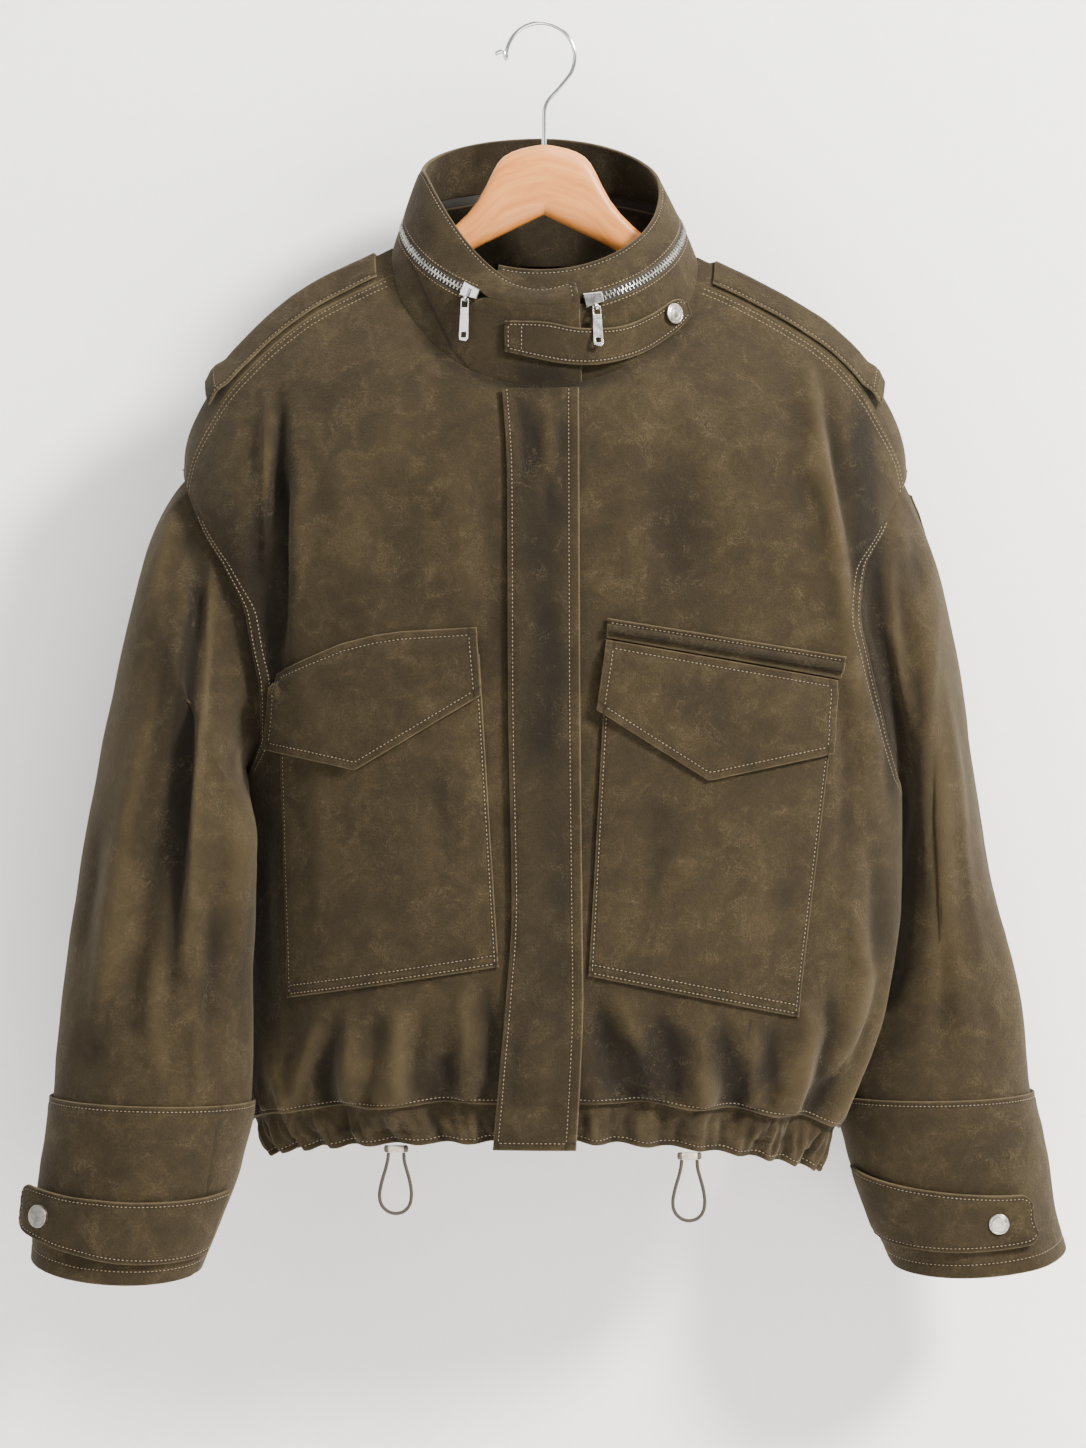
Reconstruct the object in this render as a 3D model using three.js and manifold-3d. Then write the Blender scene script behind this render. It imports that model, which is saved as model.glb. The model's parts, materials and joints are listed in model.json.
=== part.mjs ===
// A suede blouson with a zipped funnel collar, hanging on a wooden hanger.
// Millimetres, +Z up, +X towards the wearer's left, and the front faces -Y.
// The origin is the inner crest of the hanger's hook, where the hook hangs on a peg.
// Each piece of suede is a thin wall on a form, worked out from the tables of sections below.
import * as THREE from "three";
import { mergeVertices } from "three/addons/utils/BufferGeometryUtils.js";
import Module from "manifold-3d";

const wasm = await Module();
wasm.setup();

const SUEDE = 2; // one layer of suede
const DOUBLE = 3; // two layers sewn together, as in the collar and the placket
const LAP = 0.8; // between two pieces that lie on each other
const SEAM = 0.2; // half of the gap where two edges meet
const TUCK = 4; // how far a piece runs under the edge of the next
const PAST = 2.5; // how far past that edge it starts to bend
const RAD = Math.PI / 180;

const suedeFinish = new THREE.MeshStandardMaterial({ color: 0x4b3f2c, roughness: 0.95, metalness: 0 });
const metalFinish = new THREE.MeshStandardMaterial({ color: 0xb9b6ae, roughness: 0.3, metalness: 1 });
const woodFinish = new THREE.MeshStandardMaterial({ color: 0xd9a578, roughness: 0.55, metalness: 0 });
const cordFinish = new THREE.MeshStandardMaterial({ color: 0x3a3226, roughness: 0.8, metalness: 0 });
const stopFinish = new THREE.MeshStandardMaterial({ color: 0x8d8578, roughness: 0.5, metalness: 0 });

const part = new THREE.Group();

function add(name, geometry, material) {
  const mesh = new THREE.Mesh(geometry, material);
  mesh.name = name;
  part.add(mesh);
  return mesh;
}

// A smooth curve through the rows of a table, read at a fractional row.
function readTable(table, column, at) {
  const last = table.length - 1;
  const row = Math.min(Math.max(Math.floor(at), 0), last - 1);
  const part01 = at - row;
  const value = (r) => table[Math.min(Math.max(r, 0), last)][column];
  const slope = (r) => {
    const before = value(r) - value(r - 1);
    const after = value(r + 1) - value(r);
    if (r <= 0) return after;
    if (r >= last) return before;
    return before * after <= 0 ? 0 : (2 * before * after) / (before + after);
  };
  const [a, b] = [value(row), value(row + 1)];
  const [da, db] = [slope(row), slope(row + 1)];
  const [s, s2, s3] = [part01, part01 ** 2, part01 ** 3];
  return a * (2 * s3 - 3 * s2 + 1) + da * (s3 - 2 * s2 + s) + b * (3 * s2 - 2 * s3) + db * (s3 - s2);
}

const smooth = (from, to, x) => {
  const s = Math.min(Math.max((x - from) / (to - from), 0), 1);
  return s * s * (3 - 2 * s);
};
const spread = (from, to, steps) => Array.from({ length: steps + 1 }, (_, i) => from + ((to - from) * i) / steps);
const mix = (a, b, s) => a + (b - a) * s;

// The body of the jacket, as rings from the neck seam down to the hem.
// Right and left are the wearer's. half: half width, z: height at the side, y: depth of the side point.
const BODY = [
  // name, rightHalf, rightZ, rightY, leftHalf, leftZ, leftY, frontDepth, frontZ, backDepth, backZ, square, leftDip
  ["neck", 107.5, -157.5, 0, 113.8, -164, 0, 78, -260, 66, -160, 0.0, 1],
  ["yoke", 168, -189.5, -5, 173, -194.5, -5, 88, -292, 76, -195, 0.02, 1],
  ["shoulder", 203, -219.5, -5, 211.5, -222, -5, 94, -320, 80, -226, 0.03, 1],
  ["tip", 230, -253, -2, 236, -253.5, -3, 98, -348, 83, -261, 0.04, 1],
  ["drop", 250, -307, 3, 256, -308, -5, 101, -388, 85, -316, 0.05, 1],
  ["chest", 238, -410, 12, 256, -412, -14, 103, -445, 86, -415, 0.06, 1],
  ["underarm", 208, -535, 20, 251, -538, -22, 103, -553, 86, -550, 0.06, 1],
  ["waist", 207, -612, 22, 251, -612, -25, 104, -625, 84, -622, 0.06, 1],
  ["low", 208, -682, 20, 238, -684, -25, 105, -690, 82, -692, 0.06, 1],
  ["blouse", 207, -732, 15, 223, -734, -22, 105, -728, 79, -738, 0.05, 1],
  ["gather", 203, -768, 9, 208, -771, -16, 98, -747, 70, -759, 0.04, 1.3],
  ["hem", 190, -794, 6, 194, -801, -12, 90, -775, 62, -785, 0.03, 1.8],
].map(([name, rightHalf, rightZ, rightY, leftHalf, leftZ, leftY, frontDepth, frontZ, backDepth, backZ, square, leftDip]) => ({
  name, rightHalf, rightZ, rightY, leftHalf, leftZ, leftY, frontDepth, frontZ, backDepth, backZ, square, leftDip,
}));

// The largest folds of the body. angle: degrees from the centre front, plus towards the wearer's left.
// rise: how far the crest stands out, and less than nothing for a trough. spread: half width in degrees.
const BODY_FOLDS = [
  // angleTop, angleEnd, from, to, rise, spread
  [-47.5, -47.5, 2.2, 5.3, -7, 3.6], // the trough beside the right chest
  [49, 53, 1.8, 5.5, 4, 4], // the ridge along the left chest
  [-60, -55, 8.2, 10.6, 5, 5],
  [-44, -40, 8.3, 10.6, -5, 5],
  [-30, -30, 8.1, 10.6, 6, 6],
  [-16, -18, 8.0, 10.6, -6, 4],
  [14, 20, 7.9, 10.6, -7, 5],
  [24, 29, 8.3, 10.6, 6, 5],
  [36, 38, 8.4, 10.6, -5, 4.5],
  [47, 47, 8.3, 10.6, 6, 5],
  [72, 58, 7.4, 10.6, -6, 5],
  [80, 68, 7.0, 10.6, 6, 6],
  [110, 112, 7.8, 10.6, -6, 6],
  [128, 130, 8.0, 10.6, 6, 6],
  [146, 147, 7.6, 10.6, -6, 6],
  [163, 165, 8.2, 10.6, 5, 6],
  [182, 181, 7.9, 10.6, -6, 6],
  [200, 198, 8.2, 10.6, 6, 6],
  [219, 218, 7.7, 10.6, -5, 6],
  [238, 238, 8.0, 10.6, 6, 7],
  [256, 255, 7.8, 10.6, -5, 6],
].map(([angleTop, angleEnd, from, to, rise, spreadAngle]) => ({ angleTop, angleEnd, from, to, rise, spreadAngle }));

const turned = (angle) => ((((angle + 180) % 360) + 360) % 360) - 180;

function foldHeight(folds, angle, level) {
  let height = 0;
  for (const fold of folds) {
    if (level <= fold.from || level >= fold.to) continue;
    const along = (level - fold.from) / (fold.to - fold.from);
    const centre = mix(fold.angleTop, fold.angleEnd, along);
    const across = turned(angle - centre) / fold.spreadAngle;
    const length = smooth(0, 0.35, along) * (1 - smooth(0.85, 1, along) * 0.5);
    height += fold.rise * Math.exp(-across * across) * length;
  }
  return height;
}

function bodySection(angle, level) {
  const read = (column) => readTable(BODY, column, level);
  const left = turned(angle) >= 0;
  const [half, sideZ, sideY] = left
    ? [read("leftHalf"), read("leftZ"), read("leftY")]
    : [read("rightHalf"), read("rightZ"), read("rightY")];
  const front = Math.abs(turned(angle)) <= 90;
  const [depth, endZ] = front ? [-read("frontDepth"), read("frontZ")] : [read("backDepth"), read("backZ")];
  const a = (front ? Math.abs(turned(angle)) : 180 - Math.abs(turned(angle))) * RAD;
  const squared = read("square") * Math.sin(2 * a);
  const [across, along] = [Math.sin(a + squared), Math.cos(a - squared)];
  const dip = left && front ? read("leftDip") : 1; // above 1 the height of the side runs on to the front
  return new THREE.Vector3((left ? 1 : -1) * half * across, mix(sideY, depth, along), mix(sideZ, endZ, Math.max(along, 0) ** dip));
}

// The outward normal of a form at (u, v), from two short steps along it.
function normalOf(form, u, v, stepU = 0.4, stepV = 0.02) {
  const alongU = form(u + stepU, v).sub(form(u - stepU, v));
  const alongV = form(u, v + stepV).sub(form(u, v - stepV));
  return alongV.cross(alongU).normalize();
}

const bareBody = (angle, level) => bodySection(angle, Math.min(Math.max(level, -0.4), BODY.length - 1));
function bodyForm(angle, level) {
  const point = bareBody(angle, level);
  const height = foldHeight(BODY_FOLDS, angle, level);
  return height ? point.addScaledVector(normalOf(bareBody, angle, level), height) : point;
}
const lifted = (form, u, v, lift) => form(u, v).addScaledVector(normalOf(form, u, v), lift);

// A wall of the given thickness through a grid of outer points. Rows run down, columns run to the wearer's left.
// A closed grid is a tube whose last column meets its first.
function wall(outer, inner, closed = false) {
  const [rows, columns] = [outer.length, outer[0].length];
  const position = [...outer.flat(), ...inner.flat()].flatMap((p) => [p.x, p.y, p.z]);
  const index = [];
  const at = (side, r, c) => side * rows * columns + r * columns + (c % columns);
  const quad = (a, b, c, d) => index.push(a, b, c, a, c, d);
  const lastColumn = closed ? columns : columns - 1;
  for (let r = 0; r < rows - 1; r++) {
    for (let c = 0; c < lastColumn; c++) {
      quad(at(0, r, c), at(0, r + 1, c), at(0, r + 1, c + 1), at(0, r, c + 1));
      quad(at(1, r, c), at(1, r, c + 1), at(1, r + 1, c + 1), at(1, r + 1, c));
    }
    if (closed) continue;
    quad(at(0, r, 0), at(1, r, 0), at(1, r + 1, 0), at(0, r + 1, 0));
    quad(at(0, r, columns - 1), at(0, r + 1, columns - 1), at(1, r + 1, columns - 1), at(1, r, columns - 1));
  }
  for (let c = 0; c < lastColumn; c++) {
    quad(at(0, 0, c), at(0, 0, c + 1), at(1, 0, c + 1), at(1, 0, c));
    quad(at(0, rows - 1, c), at(1, rows - 1, c), at(1, rows - 1, c + 1), at(0, rows - 1, c + 1));
  }
  const geometry = new THREE.BufferGeometry();
  geometry.setAttribute("position", new THREE.Float32BufferAttribute(position, 3));
  geometry.setIndex(index);
  return geometry;
}

// A wall on a form: place(r, c) gives { u, v, lift }, and lift is the height of its outer side over the form.
function wallOn(form, rows, columns, place, thickness, closed = false) {
  const [outer, inner] = [[], []];
  for (let r = 0; r < rows; r++) {
    outer.push([]);
    inner.push([]);
    for (let c = 0; c < columns; c++) {
      const { u, v, lift = 0 } = place(r, c);
      outer[r].push(lifted(form, u, v, lift));
      inner[r].push(lifted(form, u, v, lift - thickness));
    }
  }
  return wall(outer, inner, closed);
}

// Where the fronts and the back end at the side, by level: the shoulder seam, the armhole, then the side seam.
const SHOULDER_SEAM = 79;
const ARMHOLE = [
  // level, right and left front edge, back edge, in degrees
  [4.0, 79, 79, 79],
  [4.04, 76, 75, 88],
  [4.12, 71, 68, 97],
  [4.4, 60, 58, 110],
  [4.8, 54, 55.5, 117],
  [5.2, 54, 60, 119],
  [5.6, 60, 69, 115],
  [5.85, 74, 79, 104],
  [6.0, 90, 90, 90],
].map(([level, rightFront, leftFront, back]) => ({ level, rightFront, leftFront, back }));

function edgeAngle(level, column) {
  if (level <= ARMHOLE[0].level) return SHOULDER_SEAM;
  if (level >= ARMHOLE[ARMHOLE.length - 1].level) return 90;
  const row = ARMHOLE.findIndex((r) => r.level > level) - 1;
  const { level: from } = ARMHOLE[row];
  return readTable(ARMHOLE, column, row + (level - from) / (ARMHOLE[row + 1].level - from));
}

const BODY_ROWS = [0, 1, 2, 3, ...ARMHOLE.map((row) => row.level), 6.7, 7.4, 8, 8.5, 9, 9.5, 10];
const seamAngle = (degrees, level) => {
  const reach = bareBody(90, level).distanceTo(bareBody(88, level)) / 2;
  return (SEAM / reach) * Math.sign(degrees);
};

const FRONT_COLUMNS = 17;
const FRONT_GAP = 0.2; // degrees from the centre front to each front's edge, under the placket
for (const [name, side, column] of [["right", -1, "rightFront"], ["left", 1, "leftFront"]]) {
  const place = (r, c) => {
    const level = BODY_ROWS[r];
    const edge = edgeAngle(level, column);
    const reach = edge - seamAngle(1, level);
    const share = (side > 0 ? c : FRONT_COLUMNS - c) / FRONT_COLUMNS;
    return { u: side * mix(FRONT_GAP, reach, share), v: level };
  };
  add("front_" + name, wallOn(bodyForm, BODY_ROWS.length, FRONT_COLUMNS + 1, place, SUEDE), suedeFinish);
}

const BACK_COLUMNS = 22;
const backEdge = (level) => (level >= 6 ? 90 : edgeAngle(level, "back")) + seamAngle(1, level);
add(
  "back",
  wallOn(
    bodyForm,
    BODY_ROWS.length,
    BACK_COLUMNS + 1,
    (r, c) => {
      const edge = backEdge(BODY_ROWS[r]);
      return { u: mix(edge, 360 - edge, c / BACK_COLUMNS), v: BODY_ROWS[r] };
    },
    SUEDE,
  ),
  suedeFinish,
);

// A shoulder patch lies over the ridge from the neck to the tip, and its thick end stands clear like a loop.
const PATCH = { from: 0.12, to: 3, frontAngle: SHOULDER_SEAM + 1.5, backColumns: 3, lift: LAP + 0.4, endLift: 2.2, endThickness: 2.8 };
const PATCH_ROWS = [PATCH.from, 1, 2, 2.55, 2.8, PATCH.to];
for (const [name, side] of [["right", -1], ["left", 1]]) {
  const step = (360 - 2 * backEdge(1)) / BACK_COLUMNS;
  const columns = [PATCH.frontAngle, ...spread(1, PATCH.backColumns, PATCH.backColumns - 1).map((c) => backEdge(1) + step * c)];
  const angles = columns.map((angle) => side * angle);
  if (side < 0) angles.reverse();
  const [outer, inner] = [[], []];
  for (const level of PATCH_ROWS) {
    const end = smooth(2.5, 2.85, level);
    const under = PATCH.lift + PATCH.endLift * end;
    const top = under + mix(SUEDE, PATCH.endThickness, end);
    outer.push(angles.map((angle) => lifted(bodyForm, angle, level, top)));
    inner.push(angles.map((angle) => lifted(bodyForm, angle, level, under)));
  }
  add("shoulder_patch_" + name, wall(outer, inner), suedeFinish);
}

// The channel of the drawcord, gathered all round below the fronts and the back.
// The gathers are uneven: their phase drifts and their depth changes along the hem.
const GATHERS = 36;
const GATHER_DEPTH = 4;
const gatherPhase = (angle) => (GATHERS * (angle + 2.4 * Math.sin(3.1 * angle * RAD) + 1.3 * Math.sin(7.3 * angle * RAD))) / 360;
const gatherDepth = (angle) => GATHER_DEPTH * (0.75 + 0.25 * Math.sin(5.2 * angle * RAD + 1));
const fromSeam = (angle) => smooth(0, 5, Math.abs(Math.abs(turned(angle)) - 90)); // the side seams lie flat
const gather = (angle) => Math.sin(2 * Math.PI * gatherPhase(angle)) * gatherDepth(angle) * fromSeam(angle);
const CHANNEL_ROWS = [
  // level, share of the gathers, and the height of the outer side; the tucked rows keep to the panel's own facets
  { level: 9.84, share: 0, lift: -SUEDE - LAP, tucked: true },
  { level: 10.08, share: 0.2, lift: -SUEDE - LAP - 1, tucked: true },
  { level: 10.98, share: 1, lift: -1.5, tucked: false },
];
const CHANNEL_SPLIT = { front: 3, back: 4 }; // columns of the channel to each column of the panel above it
function channel(name, from, to, panelColumns, split) {
  const columns = panelColumns * split;
  const angleAt = (c) => mix(from, to, c / columns);
  const grid = (extra) => CHANNEL_ROWS.map(({ level, share, lift, tucked }) => spread(0, columns, columns).map((c) => {
    const height = lift + extra + share * gather(angleAt(c));
    if (!tucked) return lifted(bodyForm, angleAt(c), level, height);
    const first = Math.min(Math.floor(c / split), panelColumns - 1) * split;
    const ends = [first, first + split].map((column) => lifted(bodyForm, angleAt(column), level, height));
    return ends[0].lerp(ends[1], (c - first) / split);
  }));
  add(name, wall(grid(0), grid(-SUEDE)), suedeFinish);
}
const CHANNEL_GAP = 0.34; // degrees from the side seam
channel("hem_channel_right", -90 + CHANNEL_GAP, -FRONT_GAP, FRONT_COLUMNS, CHANNEL_SPLIT.front);
channel("hem_channel_left", FRONT_GAP, 90 - CHANNEL_GAP, FRONT_COLUMNS, CHANNEL_SPLIT.front);
channel("hem_channel_back", 90 + CHANNEL_GAP, 270 - CHANNEL_GAP, BACK_COLUMNS, CHANNEL_SPLIT.back);

// What lies on the fronts is drawn as it is seen from the front, in x and z, and set on the fronts' own form.
function bodyAt(x, z) {
  let [angle, level] = [Math.asin(Math.max(-0.98, Math.min(0.98, x / 225))) / RAD, mix(0, 10, (-z - 260) / 490)];
  for (let pass = 0; pass < 30; pass++) {
    const here = bareBody(angle, level);
    const [dx, dz] = [x - here.x, z - here.z];
    if (Math.hypot(dx, dz) < 1e-4) break;
    const byAngle = bareBody(angle + 0.1, level).sub(here).multiplyScalar(10);
    const byLevel = bareBody(angle, level + 0.01).sub(here).multiplyScalar(100);
    const area = byAngle.x * byLevel.z - byLevel.x * byAngle.z;
    angle += Math.max(-12, Math.min(12, (dx * byLevel.z - byLevel.x * dz) / area));
    level += Math.max(-1, Math.min(1, (byAngle.x * dz - dx * byAngle.z) / area));
  }
  return [angle, level];
}

// A polyline read as z over x, for the edges of flaps, straps and pockets.
function readLine(points, x) {
  const row = Math.max(1, points.findIndex((p) => p[0] >= x));
  const index = points[points.length - 1][0] <= x ? points.length - 1 : row;
  const [a, b] = [points[index - 1], points[index]];
  return mix(a[1], b[1], (x - a[0]) / (b[0] - a[0]));
}

// A patch on the fronts between four corners, each [x, z]. bulge raises its middle, and sewnLift is its top edge's height.
function patchOnFront(name, corners, lift, thickness, rows, columns, { bulge = 0, top = null, bottom = null, sewnLift = lift } = {}) {
  const [upperLeft, upperRight, lowerRight, lowerLeft] = corners;
  const [outer, inner] = [[], []];
  for (let r = 0; r <= rows; r++) {
    const down = r / rows;
    outer.push([]);
    inner.push([]);
    for (let c = 0; c <= columns; c++) {
      const across = c / columns;
      const upper = [mix(upperLeft[0], upperRight[0], across), mix(upperLeft[1], upperRight[1], across)];
      const lower = [mix(lowerLeft[0], lowerRight[0], across), mix(lowerLeft[1], lowerRight[1], across)];
      if (top) upper[1] = readLine(top, upper[0]);
      if (bottom) {
        lower[0] = mix(bottom[0][0], bottom[bottom.length - 1][0], across);
        lower[1] = readLine(bottom, lower[0]);
      }
      const [angle, level] = bodyAt(mix(upper[0], lower[0], down), mix(upper[1], lower[1], down));
      const swell = Math.sin(Math.PI * across) * Math.sin(Math.PI * down);
      const height = (r ? lift : sewnLift) + bulge * Math.max(swell, 0) ** 0.6;
      outer[r].push(lifted(bodyForm, angle, level, height + thickness));
      inner[r].push(lifted(bodyForm, angle, level, height));
    }
  }
  add(name, wall(outer, inner), suedeFinish);
}

// The pockets, with their flaps. Each corner or edge point is [x, z].
const POCKET_LIFT = 1;
const FLAP_LIFT = POCKET_LIFT + SUEDE + 3;
patchOnFront("pocket_right", [[-178, -474], [-41, -442], [-28, -653.5], [-172, -677]], POCKET_LIFT, SUEDE, 8, 8, { bulge: 2 });
patchOnFront("pocket_left", [[44, -446], [200, -474], [174.7, -688.6], [32.2, -659.6]], POCKET_LIFT, SUEDE, 8, 8, { bulge: 2 });
patchOnFront(
  "flap_right", [[-183, -455.5], [-42.8, -423.8], [-39.4, -469.7], [-186, -505.5]], FLAP_LIFT, SUEDE, 4, 10, {
    top: [[-183, -455.5], [-160, -445], [-135, -434.6], [-112, -429], [-94.8, -426.5], [-42.8, -423.8]],
    bottom: [[-186, -505.5], [-123.8, -520.4], [-39.4, -469.7]],
    sewnLift: POCKET_LIFT,
  },
);
patchOnFront(
  "flap_left", [[44.3, -432], [202.3, -459.4], [196.9, -509.6], [37.5, -479.8]], FLAP_LIFT, SUEDE, 4, 10, {
    bottom: [[37.5, -479.8], [113.2, -527.8], [196.9, -509.6]],
    sewnLift: POCKET_LIFT,
  },
);
patchOnFront("pocket_band_left", [[45, -417.7], [207, -443.4], [204, -458.6], [44.6, -431]], POCKET_LIFT, DOUBLE, 1, 10);

// The placket runs from the neck seam to the hem. Its left edge in the table is the one with the stitching.
const PLACKET = [
  [-262, -26, 26],
  [-324, -22.6, 26.2],
  [-473, -21.9, 26.8],
  [-608, -19.4, 28.1],
  [-676, -23.3, 28.8],
  [-730, -28, 26.8],
  [-776, -32, 24],
].map(([z, sewn, free]) => ({ z, sewn, free }));
const PLACKET_LIFT = 1.6;
{
  const [outer, inner] = [[], []];
  for (const row of spread(0, PLACKET.length - 1, 16)) {
    const [z, sewn, free] = ["z", "sewn", "free"].map((column) => readTable(PLACKET, column, row));
    const low = smooth(-744, -760, z);
    const columns = spread(0, 1, 4).map((share) => ({ share, at: bodyAt(mix(sewn, free, share), Math.max(z, -770)) }));
    const drop = Math.min(z + 770, 0);
    const stand = (share) => PLACKET_LIFT + 3.4 * low + 1.2 * share;
    outer.push(columns.map(({ share, at }) => lifted(bareBody, ...at, stand(share) + DOUBLE).add(new THREE.Vector3(0, 0, drop))));
    inner.push(columns.map(({ share, at }) => lifted(bareBody, ...at, stand(share)).add(new THREE.Vector3(0, 0, drop))));
  }
  add("placket", wall(outer, inner), suedeFinish);
}

// Sleeves. A ring leans as the line from its inner to its outer point does, and is an ellipse of that width.
const RIGHT_SLEEVE = [
  // outerX, outerZ, outerY, innerX, innerZ, innerY, halfDepth, frontDrop
  [-282, -395, -12, -199, -560, -50, 52, 0],
  [-293, -450, -16, -196, -588, -54, 50, 0],
  [-308, -525, -22, -196, -622, -56, 49, 0],
  [-320, -600, -30, -198, -660, -52, 49, 0],
  [-330, -674, -37, -198, -706, -47, 51, 0],
  [-336, -745, -42, -199, -748, -44, 53, 2],
  [-344, -790, -45, -206, -792, -44, 52, 5],
  [-349, -825, -46, -219, -829, -45, 49, 8],
  [-351, -856, -47, -233, -863, -46, 46, 11],
];
const LEFT_SLEEVE = [
  [280, -394, 10, 254, -572, 8, 60, 0],
  [293, -456, 16, 252, -600, 15.5, 56, 0],
  [307, -532, 22, 248, -636, 23.5, 52, 0],
  [321, -612, 27, 239, -676, 29.5, 51, 0],
  [338, -690, 29, 221, -718, 30, 52, 0],
  [346, -748, 29, 210, -750, 29, 54, 2],
  [358, -792, 27, 216, -789, 27, 54, 5],
  [363, -829, 25, 229, -828, 25, 50, 8],
  [371, -858, 24, 246, -867, 24, 46, 12],
];
const sleeveTable = (rows) => rows.map(([outerX, outerZ, outerY, innerX, innerZ, innerY, halfDepth, frontDrop]) => ({
  outerX, outerZ, outerY, innerX, innerZ, innerY, halfDepth, frontDrop,
}));
const SLEEVES = { right: sleeveTable(RIGHT_SLEEVE), left: sleeveTable(LEFT_SLEEVE) };

// The largest folds of a sleeve: angle 0 is the outer line and 90 the front.
const SLEEVE_FOLDS = {
  right: [
    [66, 58, -0.2, 4.4, 5, 9],
    [88, 76, -0.2, 4.2, -6, 9],
    [112, 104, 0.1, 3.4, 5, 10],
    [246, 236, 0.1, 4.2, -5, 12],
    [282, 276, 0.1, 4.0, 5, 12],
    [70, 64, 4.4, 7.9, -3, 14],
  ],
  left: [
    [64, 60, 0.1, 3.8, 4, 12],
    [96, 92, 0.1, 4.4, -5, 11],
    [246, 240, 0.1, 4.2, -5, 12],
    [284, 280, 0.1, 4.0, 5, 12],
    [60, 50, 5.4, 8.4, 3, 16],
  ],
};
for (const side of ["right", "left"]) {
  SLEEVE_FOLDS[side] = SLEEVE_FOLDS[side].map(([angleTop, angleEnd, from, to, rise, spreadAngle]) => ({
    angleTop, angleEnd, from, to, rise, spreadAngle,
  }));
}

function sleeveForms(sideName) {
  const table = SLEEVES[sideName];
  const side = sideName === "right" ? -1 : 1;
  const bare = (angle, row) => {
    const read = (column) => readTable(table, column, Math.min(Math.max(row, -0.3), table.length - 1));
    const outward = (1 + Math.cos(angle * RAD)) / 2;
    const forward = Math.sin(angle * RAD);
    return new THREE.Vector3(
      mix(read("innerX"), read("outerX"), outward),
      mix(read("innerY"), read("outerY"), outward) - read("halfDepth") * forward,
      mix(read("innerZ"), read("outerZ"), outward) - read("frontDrop") * forward,
    );
  };
  const form = (angle, row) => {
    const height = foldHeight(SLEEVE_FOLDS[sideName], angle, row);
    return bare(angle, row).addScaledVector(sleeveNormal(bare, side, angle, row), height);
  };
  return { side, bare, form, normal: (angle, row) => sleeveNormal(form, side, angle, row) };
}
function sleeveNormal(form, side, angle, row) {
  return normalOf(form, angle, row, 1, 0.02).multiplyScalar(-side);
}

// The armhole as the fronts and the back leave it: round the front from the shoulder seam to the underarm,
// and back up. Each of its corners gives the sleeve a column, and the widest gaps between them give one more.
const SHOULDER_TURN = 14; // the seam's place on the sleeve, in degrees in front of the outer line
const EXTRA_COLUMNS = 6;
function armhole(sideName) {
  const side = sideName === "right" ? -1 : 1;
  const front = ARMHOLE.map((row) => ({ level: row.level, angle: row[sideName + "Front"] }));
  const back = ARMHOLE.map((row) => ({ level: row.level, angle: row.back })).reverse();
  const corners = [...front, ...back.slice(1)];
  const points = corners.map((corner) => bodyForm(side * corner.angle, corner.level));
  const length = [0];
  for (let i = 1; i < points.length; i++) length.push(length[i - 1] + points[i].distanceTo(points[i - 1]));
  const [underarm, total] = [length[front.length - 1], length[points.length - 1]];
  const bottom = 180 - SHOULDER_TURN;
  const turnAt = (along) => SHOULDER_TURN +
    (along < underarm ? (along / underarm) * bottom : mix(bottom, 360, (along - underarm) / (total - underarm)));
  const places = points.slice(0, -1).map((_, i) => ({ segment: i, share: 0, along: length[i] }));
  const gaps = places.map((place) => ({ ...place, wide: length[place.segment + 1] - length[place.segment] }));
  gaps.sort((a, b) => b.wide - a.wide);
  for (const { segment, along, wide } of gaps.slice(0, EXTRA_COLUMNS)) {
    places.push({ segment, share: 0.5, along: along + wide / 2 });
  }
  places.sort((a, b) => a.along - b.along);
  return places.map(({ segment, share, along }) => {
    const [from, to] = [corners[segment], corners[segment + 1]];
    const before = segment === 0 ? points.length - 2 : segment - 1;
    const tangent = points[segment + 1].clone().sub(points[segment]).normalize();
    if (!share) tangent.add(points[segment].clone().sub(points[before]).normalize()).normalize();
    const normal = normalOf(bodyForm, side * mix(from.angle, to.angle, share), mix(from.level, to.level, share));
    const away = tangent.cross(normal).multiplyScalar(-side).normalize();
    return { angle: turnAt(along), point: points[segment].clone().lerp(points[segment + 1], share), normal, away };
  });
}

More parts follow.
